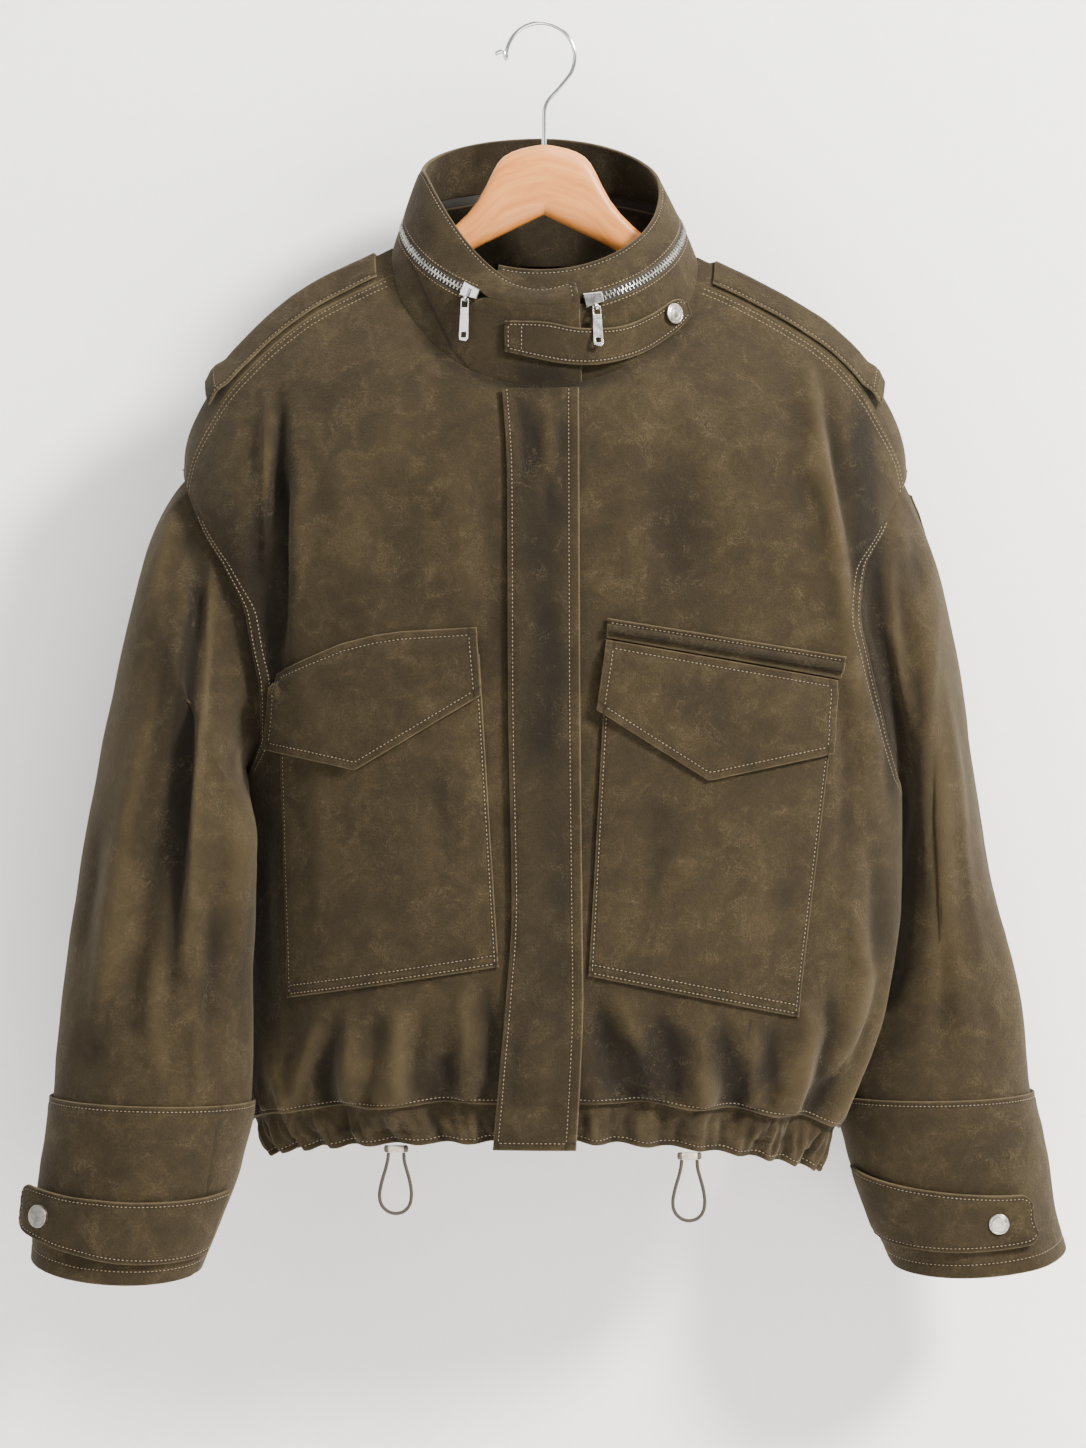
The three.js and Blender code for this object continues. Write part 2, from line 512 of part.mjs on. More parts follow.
const PUFF = { right: 1.1, left: 0.5 }; // how far the top of each sleeve's head stands out
const HEAD_STEPS = [0.12, 0.4, 0.7]; // shares of the way from the armhole to the sleeve's first ring
const SLEEVE_ROWS = [0, 0.6, 1.3, 2.1, 3, 3.9, 5.1];
const BAND_ROWS = [5, 5.2, 6, 7, 8];
for (const sideName of ["right", "left"]) {
  const { side, form, normal } = sleeveForms(sideName);
  const holes = armhole(sideName);
  if (side > 0) holes.reverse();
  const angles = holes.map((hole) => hole.angle);
  const [outer, inner] = [[], []];
  const atShoulder = (angle) => 1.7 * (1 - smooth(18, 36, Math.abs(turned(angle)))); // the ridge is sharpest there
  // Two rings lap under the armhole's edge: one is tucked in, and one comes out just past it.
  const drop = SUEDE + LAP;
  const lapped = (step, extra) => holes.map(({ angle, point, normal: n, away }) =>
    point.clone().addScaledVector(away, step).addScaledVector(n, -drop - extra - atShoulder(angle)));
  for (const [step, deeper] of [[-TUCK, 1.2], [PAST, 0.4]]) {
    outer.push(lapped(step, deeper));
    inner.push(lapped(step, deeper + SUEDE));
  }
  // The head of the sleeve leaves the armhole along the cloth and bends into the sleeve.
  const head = (share, lift) => angles.map((angle, c) => {
    const from = lapped(PAST, 0.4 - lift)[c];
    const to = form(angle, 0).addScaledVector(normal(angle, 0), lift);
    const reach = from.distanceTo(to);
    const puff = PUFF[sideName] * (1 - smooth(30, 80, Math.abs(turned(angle))));
    const leave = holes[c].away.clone().addScaledVector(holes[c].normal, puff).setLength(reach);
    const arrive = form(angle, 0.1).sub(form(angle, 0)).setLength(reach);
    const [s, s2, s3] = [share, share ** 2, share ** 3];
    return from.clone().multiplyScalar(2 * s3 - 3 * s2 + 1).addScaledVector(leave, s3 - 2 * s2 + s)
      .addScaledVector(to, 3 * s2 - 2 * s3).addScaledVector(arrive, s3 - s2);
  });
  for (const share of HEAD_STEPS) {
    outer.push(head(share, 0));
    inner.push(head(share, -SUEDE));
  }
  for (const row of SLEEVE_ROWS) {
    outer.push(angles.map((angle) => form(angle, row)));
    inner.push(angles.map((angle) => form(angle, row).addScaledVector(normal(angle, row), -SUEDE)));
  }
  add("sleeve_" + sideName, wall(outer, inner, true), suedeFinish);

  // The lower band of the sleeve laps over the end of the sleeve above it, down to the cuff's edge.
  const over = (row) => (SUEDE + LAP) * (1 - smooth(5.1, 5.9, row));
  const ring = (lift) => BAND_ROWS.map((row) =>
    angles.map((angle) => form(angle, row).addScaledVector(normal(angle, row), over(row) + lift)));
  add("sleeve_band_" + sideName, wall(ring(0), ring(-SUEDE), true), suedeFinish);
}

// A strap round the front of each cuff. Its sewn end is at the inner side and its free end carries the snap.
const CUFF_STRAP = {
  right: { from: 158, to: 14, top: [6.34, 6.42, 6.34], bottom: [7.5, 7.55, 7.25], end: 8, snap: 0.86 },
  left: { from: 166, to: 51, top: [6.2, 6.42, 6.5], bottom: [7.4, 7.5, 7.45], end: 4, snap: 0.82 },
  sewnLift: 0.7,
  lift: 1.7,
};
const STRAP_COLUMNS = 14;
const snapPlaces = [];
for (const sideName of ["right", "left"]) {
  const { side, form, normal } = sleeveForms(sideName);
  const { from, to, top, bottom, end, snap } = CUFF_STRAP[sideName];
  const curve = ([a, b, c], s) => a * (1 - s) ** 2 + 2 * (2 * b - (a + c) / 2) * s * (1 - s) + c * s * s;
  const strapAt = (share, down, extra) => {
    const round = 0.16 * smooth(0.9, 1, share) * (1 - 2 * down); // the free end's corners are rounded
    const row = mix(curve(top, share), curve(bottom, share), down) + round;
    const angle = mix(from, to, share);
    const lift = mix(CUFF_STRAP.sewnLift, CUFF_STRAP.lift, smooth(0, 0.15, share)) + end * smooth(0.78, 1.06, share);
    return form(angle, row).addScaledVector(normal(angle, row), lift + extra);
  };
  const grid = (extra) => spread(0, 1, 2).map((down) => {
    const points = spread(0, 1, STRAP_COLUMNS).map((share) => strapAt(share, down, extra));
    return side < 0 ? points.reverse() : points;
  });
  add("cuff_strap_" + sideName, wall(grid(DOUBLE), grid(0)), suedeFinish);
  const along = strapAt(snap + 0.05, 0.5, DOUBLE).sub(strapAt(snap - 0.05, 0.5, DOUBLE));
  const across = strapAt(snap, 0.9, DOUBLE).sub(strapAt(snap, 0.1, DOUBLE));
  const facing = along.cross(across).multiplyScalar(-side).normalize();
  snapPlaces.push(["cuff_snap_" + sideName, strapAt(snap, 0.5, DOUBLE), facing]);
}

// The collar, as rings from its seam at the neck to its upper edge. The two ends overlap at the front.
// It is read round from the left end, under the right one: 0 is the centre front, 90 the wearer's left.
const COLLAR = [
  // name, rightHalf, rightZ, leftHalf, leftZ, frontDepth, rightFrontZ, leftFrontZ, backDepth, backZ, rightDip, leftDip
  ["seam", 104.4, -160.5, 110.7, -167, 74.2, -263, -263, 62.4, -163, 1.1, 1.1],
  ["zip", 97.6, -140, 100.4, -142, 76, -203, -203, 66, -112, 1.2, 1.1],
  ["middle", 91, -120, 93, -127, 72, -195, -190, 64.5, -91, 1.6, 1.0],
  ["edge", 83, -101, 84.5, -112, 66, -189.5, -177, 62, -71, 2.0, 0.95],
].map(([name, rightHalf, rightZ, leftHalf, leftZ, frontDepth, rightFrontZ, leftFrontZ, backDepth, backZ, rightDip, leftDip]) => ({
  name, rightHalf, rightZ, leftHalf, leftZ, frontDepth, rightFrontZ, leftFrontZ, backDepth, backZ, rightDip, leftDip,
}));
const COLLAR_FROM = -20;
const COLLAR_TO = 376;
const COLLAR_OVERLAP = 4.4; // how far the left end runs under the right one
function collarRing(angle, row, under = 0) {
  const read = (column) => readTable(COLLAR, column, Math.min(Math.max(row, -0.2), COLLAR.length - 1));
  const turns = (angle + 360) % 360;
  const left = turns < 180 || angle < 0;
  const [half, sideZ, frontZ, dip] = left
    ? [read("leftHalf"), read("leftZ"), read("leftFrontZ"), read("leftDip")]
    : [read("rightHalf"), read("rightZ"), read("rightFrontZ"), read("rightDip")];
  const c = Math.cos(angle * RAD);
  const depth = c > 0 ? under - read("frontDepth") : read("backDepth");
  const z = c > 0 ? mix(sideZ, frontZ, c ** dip) : mix(sideZ, read("backZ"), Math.abs(c));
  return new THREE.Vector3(half * Math.sin(angle * RAD), depth * Math.abs(c), z);
}
const collarForm = (angle, row) => collarRing(angle, row, COLLAR_OVERLAP * (1 - smooth(17, 38, angle)));
// The collar's rows run up, so its normal is turned round.
const collarNormal = (angle, row) => normalOf(collarForm, angle, row, 0.5, 0.03).negate();
const onCollar = (angle, row, lift) => collarForm(angle, row).addScaledVector(collarNormal(angle, row), lift);
const onRing = (angle, row, lift) => collarRing(angle, row).addScaledVector(normalOf((a, r) => collarRing(a, r), angle, row, 0.5, 0.03), -lift);
const collarStep = (angle, row, mm) => mm / (collarForm(angle, row + 0.05).distanceTo(collarForm(angle, row - 0.05)) * 10);

const ZIP = { row: 1, from: 21, to: 331, tapeHalf: 3.1, thickness: 1.6, sunk: 0.15 };
const COLLAR_ANGLES = [COLLAR_FROM, -10, 0, 7, ZIP.from - 8, ZIP.from - 2, ...spread(30, 322, 26), ZIP.to + 2, ZIP.to + 8, 346, 353, 361, 369, COLLAR_TO];
const zipHalf = (angle) => mix(0.3, ZIP.tapeHalf + 0.5, smooth(ZIP.from - 8, ZIP.from - 2, angle) * (1 - smooth(ZIP.to + 2, ZIP.to + 8, angle)));
function collarWall(name, rows) {
  const grid = (lift) => rows.map((row) => COLLAR_ANGLES.map((angle) => onCollar(angle, row(angle), lift)));
  add(name, wall(grid(0).reverse(), grid(-DOUBLE).reverse()), suedeFinish);
}
const below = (angle) => ZIP.row - collarStep(angle, ZIP.row - 0.08, zipHalf(angle));
const above = (angle) => ZIP.row + collarStep(angle, ZIP.row + 0.08, zipHalf(angle));
const upperEdge = (angle) => COLLAR.length - 1 - 0.9 * smooth(364, COLLAR_TO, angle) ** 2; // the right end's corner is round
collarWall("collar_stand", spread(0, 1, 2).map((share) => (angle) => mix(0, below(angle), share)));
collarWall("collar_fall", spread(0, 1, 3).map((share) => (angle) => mix(above(angle), upperEdge(angle), share)));
{
  const angles = [ZIP.from, ...spread(30, 322, 26), ZIP.to];
  const edge = (angle, side) => ZIP.row + side * collarStep(angle, ZIP.row + side * 0.08, ZIP.tapeHalf);
  const grid = (lift) => [1, -1].map((side) => angles.map((angle) => onCollar(angle, edge(angle, side), lift)));
  add("zip_chain", wall(grid(-ZIP.sunk), grid(-ZIP.sunk - ZIP.thickness)), metalFinish);
}

// The collar's strap crosses the front from its sewn end on the right to the snap on the left.
function collarAt(x, z) {
  let [angle, row] = [(Math.asin(Math.max(-0.95, Math.min(0.95, x / 108))) / RAD + 360) % 360, 0.5];
  if (angle > 180) angle -= 360;
  for (let pass = 0; pass < 30; pass++) {
    const here = collarRing(angle, row);
    const [dx, dz] = [x - here.x, z - here.z];
    if (Math.hypot(dx, dz) < 1e-4) break;
    const byAngle = collarRing(angle + 0.1, row).sub(here).multiplyScalar(10);
    const byRow = collarRing(angle, row + 0.01).sub(here).multiplyScalar(100);
    const area = byAngle.x * byRow.z - byRow.x * byAngle.z;
    angle += Math.max(-12, Math.min(12, (dx * byRow.z - byRow.x * dz) / area));
    row += Math.max(-0.5, Math.min(0.5, (byAngle.x * dz - dx * byAngle.z) / area));
  }
  return [angle, row];
}
const STRAP_TOP = [[-24, -214], [3, -215], [27, -219], [54, -217], [75, -207.5], [89, -197], [97, -199]];
const STRAP_BOTTOM = [[-24, -235], [13, -243], [40, -243.5], [68, -235.5], [90, -220], [100, -207]];
const strapLift = (share) => LAP + 0.4 + COLLAR_OVERLAP * (1 - smooth(0.45, 0.8, share)) * smooth(0.3, 0.5, share) * 0.3 + 3.6 * smooth(0.78, 1, share);
{
  const lines = [STRAP_TOP, STRAP_BOTTOM].map((line) => new THREE.SplineCurve(line.map(([x, z]) => new THREE.Vector2(x, z))));
  const grid = (extra) => spread(0, 1, 2).map((down) => spread(0, 1, 14).map((share) => {
    const [upper, lower] = lines.map((line) => line.getPointAt(share));
    const at = collarAt(mix(upper.x, lower.x, down), mix(upper.y, lower.y, down));
    return onRing(...at, strapLift(share) + extra);
  }));
  add("collar_strap", wall(grid(DOUBLE), grid(0)), suedeFinish);
  const at = collarAt(87.5, -207.5);
  snapPlaces.push(["collar_snap", onRing(...at, strapLift(0.92) + DOUBLE), normalOf(collarRing, ...at, 0.5, 0.03).negate()]);
}

// A snap's cap: a low dome with a rolled rim, turned about its own axis.
const SNAP = { radius: 7.3, height: 2.2, seat: 0.4 };
for (const [name, at, normal] of snapPlaces) {
  const { radius, height } = SNAP;
  const profile = [
    [0, 0], [radius * 0.9, 0], [radius, height * 0.35], [radius * 0.94, height * 0.8], [radius * 0.8, height * 0.92], [0, height],
  ].map(([r, y]) => new THREE.Vector2(r, y));
  const geometry = new THREE.LatheGeometry(profile, 14);
  const turn = new THREE.Quaternion().setFromUnitVectors(new THREE.Vector3(0, 1, 0), normal);
  const mesh = add(name, geometry, metalFinish);
  mesh.quaternion.copy(turn);
  mesh.position.copy(at).addScaledVector(normal, SNAP.seat);
}

// A closed solid for joins and cuts, and back to a geometry.
function solid(geometry, matrix = new THREE.Matrix4()) {
  const bare = geometry.clone().applyMatrix4(matrix);
  for (const attribute of Object.keys(bare.attributes)) if (attribute !== "position") bare.deleteAttribute(attribute);
  const merged = mergeVertices(bare, 1e-4);
  return new wasm.Manifold(
    new wasm.Mesh({
      numProp: 3,
      vertProperties: new Float32Array(merged.attributes.position.array),
      triVerts: new Uint32Array(merged.index.array),
    }),
  );
}
function geometryOf(manifold) {
  const mesh = manifold.getMesh();
  const geometry = new THREE.BufferGeometry();
  const position = new Float32Array(mesh.numVert * 3);
  for (let i = 0; i < mesh.numVert; i++) {
    position.set(mesh.vertProperties.subarray(i * mesh.numProp, i * mesh.numProp + 3), i * 3);
  }
  geometry.setAttribute("position", new THREE.BufferAttribute(position, 3));
  geometry.setIndex(new THREE.BufferAttribute(new Uint32Array(mesh.triVerts), 1));
  return geometry;
}

// Each zip slider lies on the end of the chain. Its own axes: x along the zip, y up the collar, z out of it.
const SLIDER = { length: 12, width: 9, thickness: 3.2, neck: 6, sunk: 0.35 };
const BAIL = { width: 2, hole: 1.6, wire: 0.9, drop: 4.6, out: 1.7 };
const TAB = { length: 29, width: 7, topWidth: 5.8, thickness: 1.2, rim: 1.1, slot: 5, slotWidth: 4.3, window: 3.6 };
function sliderFrame(angle) {
  const out = collarNormal(angle, ZIP.row);
  const along = collarForm(angle + 1, ZIP.row).sub(collarForm(angle - 1, ZIP.row)).normalize();
  const up = out.clone().cross(along).normalize();
  const at = onCollar(angle, ZIP.row, SLIDER.sunk);
  return { matrix: new THREE.Matrix4().makeBasis(along, up, out).setPosition(at), along, up, out };
}
function sliderSolid() {
  const { length, width, thickness, neck } = SLIDER;
  const plan = new THREE.Shape();
  plan.moveTo(-length / 2, -width / 2);
  plan.lineTo(length / 2, -neck / 2);
  plan.lineTo(length / 2, neck / 2);
  plan.lineTo(-length / 2, width / 2);
  plan.closePath();
  const base = new THREE.ExtrudeGeometry(plan, { depth: thickness - 1, bevelThickness: 0.5, bevelSize: 0.5, bevelSegments: 1 });
  base.translate(0, 0, 0.5);
  // The bail is a small ring below the slider, and the tab's upper rim hangs in it.
  const { hole, wire, out, drop } = BAIL;
  const ring = new THREE.Shape().absarc(0, 0, hole + wire, 0, 2 * Math.PI);
  ring.holes.push(new THREE.Path().absarc(0, 0, hole, 0, 2 * Math.PI, true));
  const bail = new THREE.ExtrudeGeometry(ring, { depth: BAIL.width, bevelEnabled: false, curveSegments: 10 });
  bail.translate(0, 0, -BAIL.width / 2).rotateY(Math.PI / 2).translate(0, -drop - hole, thickness + out);
  const arm = new THREE.BoxGeometry(BAIL.width, drop + 2, wire * 1.4);
  arm.translate(0, -drop / 2 + 0.9, thickness + 0.2 + wire * 0.7 - 0.6);
  return solid(base).add(solid(arm)).add(solid(bail));
}
function tabShape() {
  const { length, width, topWidth, rim, slot, slotWidth, window } = TAB;
  const plate = new THREE.Shape();
  plate.moveTo(-topWidth / 2, rim / 2);
  plate.lineTo(-topWidth / 2 - 0.1, -6);
  plate.lineTo(-width / 2, -length + 4);
  plate.lineTo(-width / 2 + 0.4, -length + 1);
  plate.lineTo(width / 4, -length);
  plate.lineTo(width / 2, -length + 2);
  plate.lineTo(topWidth / 2 + 0.1, -6);
  plate.lineTo(topWidth / 2, rim / 2);
  const box = (w, high, low) => {
    const hole = new THREE.Path();
    hole.moveTo(-w / 2, high).lineTo(w / 2, high).lineTo(w / 2, low).lineTo(-w / 2, low).closePath();
    return hole;
  };
  plate.holes.push(box(slotWidth, -rim / 2, -rim / 2 - slot));
  plate.holes.push(box(window, -length + 6.4, -length + 2.6));
  return plate;
}
export const pullTabs = [];
const TAB_LEAN = { right: 5, left: 17.5 }; // degrees that a tab leans out from hanging straight down
for (const [name, angle] of [["right", ZIP.to], ["left", ZIP.from]]) {
  const { matrix, out } = sliderFrame(angle);
  add("slider_" + name, geometryOf(sliderSolid().transform(matrix.elements)), metalFinish);
  const pivot = new THREE.Vector3(0, -BAIL.drop - BAIL.hole, SLIDER.thickness + BAIL.out).applyMatrix4(matrix);
  const flat = new THREE.Vector3(out.x, out.y, 0).normalize();
  const down = new THREE.Vector3(0, 0, -1).applyAxisAngle(new THREE.Vector3(0, 0, -1).cross(flat).normalize(), TAB_LEAN[name] * RAD);
  const axis = down.clone().cross(flat).normalize();
  const face = axis.clone().cross(down).normalize();
  const tab = new THREE.ExtrudeGeometry(tabShape(), { depth: TAB.thickness, bevelEnabled: false });
  tab.translate(0, 0, -TAB.thickness / 2);
  const basis = new THREE.Matrix4().makeBasis(axis.clone().negate(), down.clone().negate(), face).setPosition(pivot);
  tab.applyMatrix4(basis);
  add("pull_tab_" + name, tab, metalFinish);
  pullTabs.push({ name, pivot: pivot.toArray(), axis: axis.toArray(), down: down.toArray(), face: face.toArray() });
}

// The hanger: two arms in one piece of wood, as sections along x, with the hook in a hole at the middle.
const HANGER = [
  // x, top, bottom, y, halfThickness
  [-205, -233, -248, 0, 5],
  [-190, -217.6, -239, 0, 8],
  [-168, -199.6, -223, 0, 9],
  [-150, -188.8, -212.5, 0, 9],
  [-105, -171.6, -194, 0, 8.5],
  [-80, -156, -179, 0, 8],
  [-58, -140, -163.5, 0, 7.5],
  [-43, -124, -155, 0, 7],
  [-33, -101, -150.3, 0, 7],
  [-27, -91.5, -147.4, 0, 7],
  [-14, -86, -141, 0, 7],
  [2.5, -83.6, -133, 0, 7],
  [19, -86, -141, 0, 7],
  [32, -91.5, -147.4, 0, 7],
  [38, -101, -150.3, 0, 7],
  [48, -124, -155, 0, 7],
  [63, -140, -163.5, 0, 7.5],
  [85, -158, -181, 0, 8],
  [110, -177.6, -200, 0, 8.5],
  [155, -193.6, -217, 0, 9],
  [175, -204.6, -228, 0, 9],
  [196, -219.6, -241, 0, 8],
  [210, -233, -248, 0, 5],
].map(([x, top, bottom, y, halfThickness]) => ({ x, top, bottom, y, halfThickness }));
const HOOK = { wire: 1.6, bend: 24, stemX: 2.5, seat: 14, clear: 0.3 };
{
  const corners = 12;
  const ring = ({ x, top, bottom, y, halfThickness }) => spread(0, 360, corners).slice(0, -1).map((degrees) => {
    const [s, c] = [Math.sin(degrees * RAD), Math.cos(degrees * RAD)];
    const full = (v) => Math.sign(v) * Math.abs(v) ** 0.6;
    return new THREE.Vector3(x, y + halfThickness * full(s), (top + bottom) / 2 + ((top - bottom) / 2) * full(c));
  });
  const rings = HANGER.map(ring);
  const points = [...rings.flat()];
  const index = [];
  for (let r = 0; r < rings.length - 1; r++) {
    for (let c = 0; c < corners; c++) {
      const [a, b] = [r * corners + c, r * corners + ((c + 1) % corners)];
      index.push(a, b + corners, b, a, a + corners, b + corners);
    }
  }
  for (const [start, flip] of [[0, false], [(rings.length - 1) * corners, true]]) {
    for (let c = 1; c < corners - 1; c++) index.push(start, ...(flip ? [start + c + 1, start + c] : [start + c, start + c + 1]));
  }
  const wood = new THREE.BufferGeometry();
  wood.setAttribute("position", new THREE.Float32BufferAttribute(points.flatMap((p) => [p.x, p.y, p.z]), 3));
  wood.setIndex(index);
  const bore = new THREE.CylinderGeometry(HOOK.wire + HOOK.clear, HOOK.wire + HOOK.clear, 40, 14);
  bore.rotateX(Math.PI / 2).translate(HOOK.stemX, 0, -83.6 - HOOK.seat - HOOK.clear + 20);
  add("hanger_wood", geometryOf(solid(wood).subtract(solid(bore))), woodFinish);
}
{
  // The hook's wire, from its turned-out tip over the crest and down the stem into the wood.
  const centreZ = -(HOOK.bend - HOOK.wire);
  const arc = spread(197, -42, 18).map((degrees) => [HOOK.bend * Math.cos(degrees * RAD), centreZ + HOOK.bend * Math.sin(degrees * RAD)]);
  const route = [
    [-32, -20.5], [-28.5, -18.6], [-25.8, -18.6], ...arc.slice(1), [11.5, -46], [5.6, -52.5], [3.1, -58], [HOOK.stemX, -64],
    [HOOK.stemX, -80], [HOOK.stemX, -83.6 - HOOK.seat],
  ].map(([x, z]) => new THREE.Vector3(x, 0, z));
  const section = new THREE.Shape().absarc(0, 0, HOOK.wire, 0, 2 * Math.PI);
  const geometry = new THREE.ExtrudeGeometry(section, {
    steps: 38, curveSegments: 4, extrudePath: new THREE.CatmullRomCurve3(route, false, "centripetal"),
  });
  add("hanger_hook", geometry, metalFinish);
}

// The drawcord shows as a loop at each side of the front, hanging from a small stop under the hem.
const CORD_RADIUS = 1.2;
const CORD_X = { right: -98.5, left: 101.5 };
const LOOP = [
  // across and down from the middle of the stop
  [-5.2, 0], [-5.8, -5], [-7.2, -11], [-9, -17], [-10.6, -23.5], [-11.3, -29], [-10.4, -34.4], [-7.4, -38.6], [-3, -41],
  [1.8, -41.2], [6.2, -39.3], [9.2, -35.4], [10.4, -30], [10.1, -24], [8.8, -17.5], [7, -11], [5.6, -5.5], [5.2, 0],
];
const STOP = { half: 8.4, radius: 2.6 };
// The middle of the hem's lower edge at x, on the front.
function hemAt(x) {
  const { level, share, lift } = CHANNEL_ROWS[CHANNEL_ROWS.length - 1];
  const at = (angle) => lifted(bodyForm, angle, level, lift + share * gather(angle) - SUEDE / 2);
  let [low, high] = x < 0 ? [-80, 0] : [0, 80];
  for (let pass = 0; pass < 30; pass++) [low, high] = at((low + high) / 2).x < x ? [(low + high) / 2, high] : [low, (low + high) / 2];
  return at(low);
}
for (const name of ["right", "left"]) {
  const x = CORD_X[name];
  const under = spread(x - STOP.half, x + STOP.half, 8).map(hemAt);
  const y = under[4].y;
  const z = Math.min(...under.map((p) => p.z)) - 0.5;
  const bar = new THREE.CapsuleGeometry(STOP.radius, 2 * (STOP.half - STOP.radius), 3, 10);
  bar.rotateZ(Math.PI / 2).translate(x, y, z - STOP.radius);
  add("cord_stop_" + name, bar, stopFinish);
  const top = z - 2 * STOP.radius - 0.3;
  const route = LOOP.map(([across, down]) => new THREE.Vector3(x + across, y, top + down));
  const section = new THREE.Shape().absarc(0, 0, CORD_RADIUS, 0, 2 * Math.PI);
  const geometry = new THREE.ExtrudeGeometry(section, {
    steps: 24, curveSegments: 4, extrudePath: new THREE.CatmullRomCurve3(route, false, "centripetal"),
  });
  add("cord_loop_" + name, geometry, cordFinish);
}

export default part;
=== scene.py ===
import json
import math

import bpy
import numpy as np
from mathutils import Matrix, Vector

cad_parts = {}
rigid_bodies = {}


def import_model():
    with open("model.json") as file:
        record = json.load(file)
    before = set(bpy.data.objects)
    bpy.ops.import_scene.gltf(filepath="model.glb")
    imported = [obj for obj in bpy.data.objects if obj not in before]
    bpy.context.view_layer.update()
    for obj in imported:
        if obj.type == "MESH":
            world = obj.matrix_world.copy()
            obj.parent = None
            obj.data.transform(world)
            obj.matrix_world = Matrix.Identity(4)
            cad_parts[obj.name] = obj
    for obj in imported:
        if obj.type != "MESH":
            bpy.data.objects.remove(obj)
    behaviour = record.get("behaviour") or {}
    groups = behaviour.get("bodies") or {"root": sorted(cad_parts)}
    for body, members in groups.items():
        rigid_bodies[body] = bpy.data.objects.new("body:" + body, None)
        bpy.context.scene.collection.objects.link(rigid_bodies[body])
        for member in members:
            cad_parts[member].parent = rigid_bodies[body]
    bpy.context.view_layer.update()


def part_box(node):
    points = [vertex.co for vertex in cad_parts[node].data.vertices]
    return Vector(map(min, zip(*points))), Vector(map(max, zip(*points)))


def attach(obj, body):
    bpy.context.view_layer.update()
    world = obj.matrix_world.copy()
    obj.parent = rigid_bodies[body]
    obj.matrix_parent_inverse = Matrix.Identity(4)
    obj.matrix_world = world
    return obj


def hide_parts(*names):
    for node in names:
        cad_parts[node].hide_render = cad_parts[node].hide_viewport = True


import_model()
print("frame loaded")

# Sizes are in millimetres until a mesh is made, +X towards the wearer's left, and the front faces -Y.
mm = 0.001
suede, double, lap = 2.0, 3.0, 0.8


# The camera stands where the photograph's did.
camera = {"place": (0.00175, -3.0, -0.4893), "lens": 106.55}
cameraData = bpy.data.cameras.new("camera")
cameraData.lens = camera["lens"]
cameraData.sensor_width = 36
cameraData.clip_end = 50
cameraObject = bpy.data.objects.new("camera", cameraData)
cameraObject.location = camera["place"]
cameraObject.rotation_euler = (math.pi / 2, 0, 0)
bpy.context.scene.collection.objects.link(cameraObject)
bpy.context.scene.camera = cameraObject


# Small tools for tables, folds and rows of points.
def smooth(start, end, x):
    s = np.clip((x - start) / (end - start), 0, 1)
    return s * s * (3 - 2 * s)


def mix(a, b, s):
    return a + (b - a) * s


def unit(v):
    return v / np.maximum(np.linalg.norm(v, axis=-1, keepdims=True), 1e-9)


def xyz(x, y, z):
    return np.stack(np.broadcast_arrays(x, y, z), axis=-1).astype(float)


def slopesOf(values):
    step = np.diff(values)
    before, after = step[:-1], step[1:]
    same = before * after > 0
    middle = np.where(same, 2 * before * after / np.where(same, before + after, 1), 0)
    return np.concatenate([step[:1], middle, step[-1:]])


def tableOf(names, rows):
    columns = {}
    for index, name in enumerate(names.split()):
        values = np.array([row[index] for row in rows], float)
        columns[name] = (values, slopesOf(values))
    return columns


def readColumn(column, at):
    values, slopes = column
    row = np.clip(np.floor(at), 0, len(values) - 2).astype(int)
    s = at - row
    s2, s3 = s**2, s**3
    return (values[row] * (2 * s3 - 3 * s2 + 1) + slopes[row] * (s3 - 2 * s2 + s)
            + values[row + 1] * (3 * s2 - 2 * s3) + slopes[row + 1] * (s3 - s2))


def turned(angle):
    return (angle + 180) % 360 - 180


# How far (a, b) is from a line of points.
def lineDistance(points, a, b):
    nearest = np.full(np.broadcast(a, b).shape, 60.0)
    for (a0, b0), (a1, b1) in zip(points[:-1], points[1:]):
        s = np.clip(((a - a0) * (a1 - a0) + (b - b0) * (b1 - b0)) / ((a1 - a0) ** 2 + (b1 - b0) ** 2), 0, 1)
        nearest = np.minimum(nearest, np.hypot(a - mix(a0, a1, s), b - mix(b0, b1, s)))
    return nearest


# Soft unevenness that is the same each run: values on a lattice, blended smoothly.
latticeValues = np.random.default_rng(7).uniform(-1, 1, 4096)


def uneven(points, size, seed=0):
    p = np.asarray(points, float) / size + seed * 17.3
    cell = np.floor(p).astype(int)
    s = p - cell
    s = s * s * (3 - 2 * s)
    total = 0
    for dx in (0, 1):
        for dy in (0, 1):
            for dz in (0, 1):
                key = (cell[..., 0] + dx) * 73 + (cell[..., 1] + dy) * 179 + (cell[..., 2] + dz) * 283
                weight = (np.where(dx, s[..., 0], 1 - s[..., 0]) * np.where(dy, s[..., 1], 1 - s[..., 1])
                          * np.where(dz, s[..., 2], 1 - s[..., 2]))
                total = total + weight * latticeValues[key % 4096]
    return total


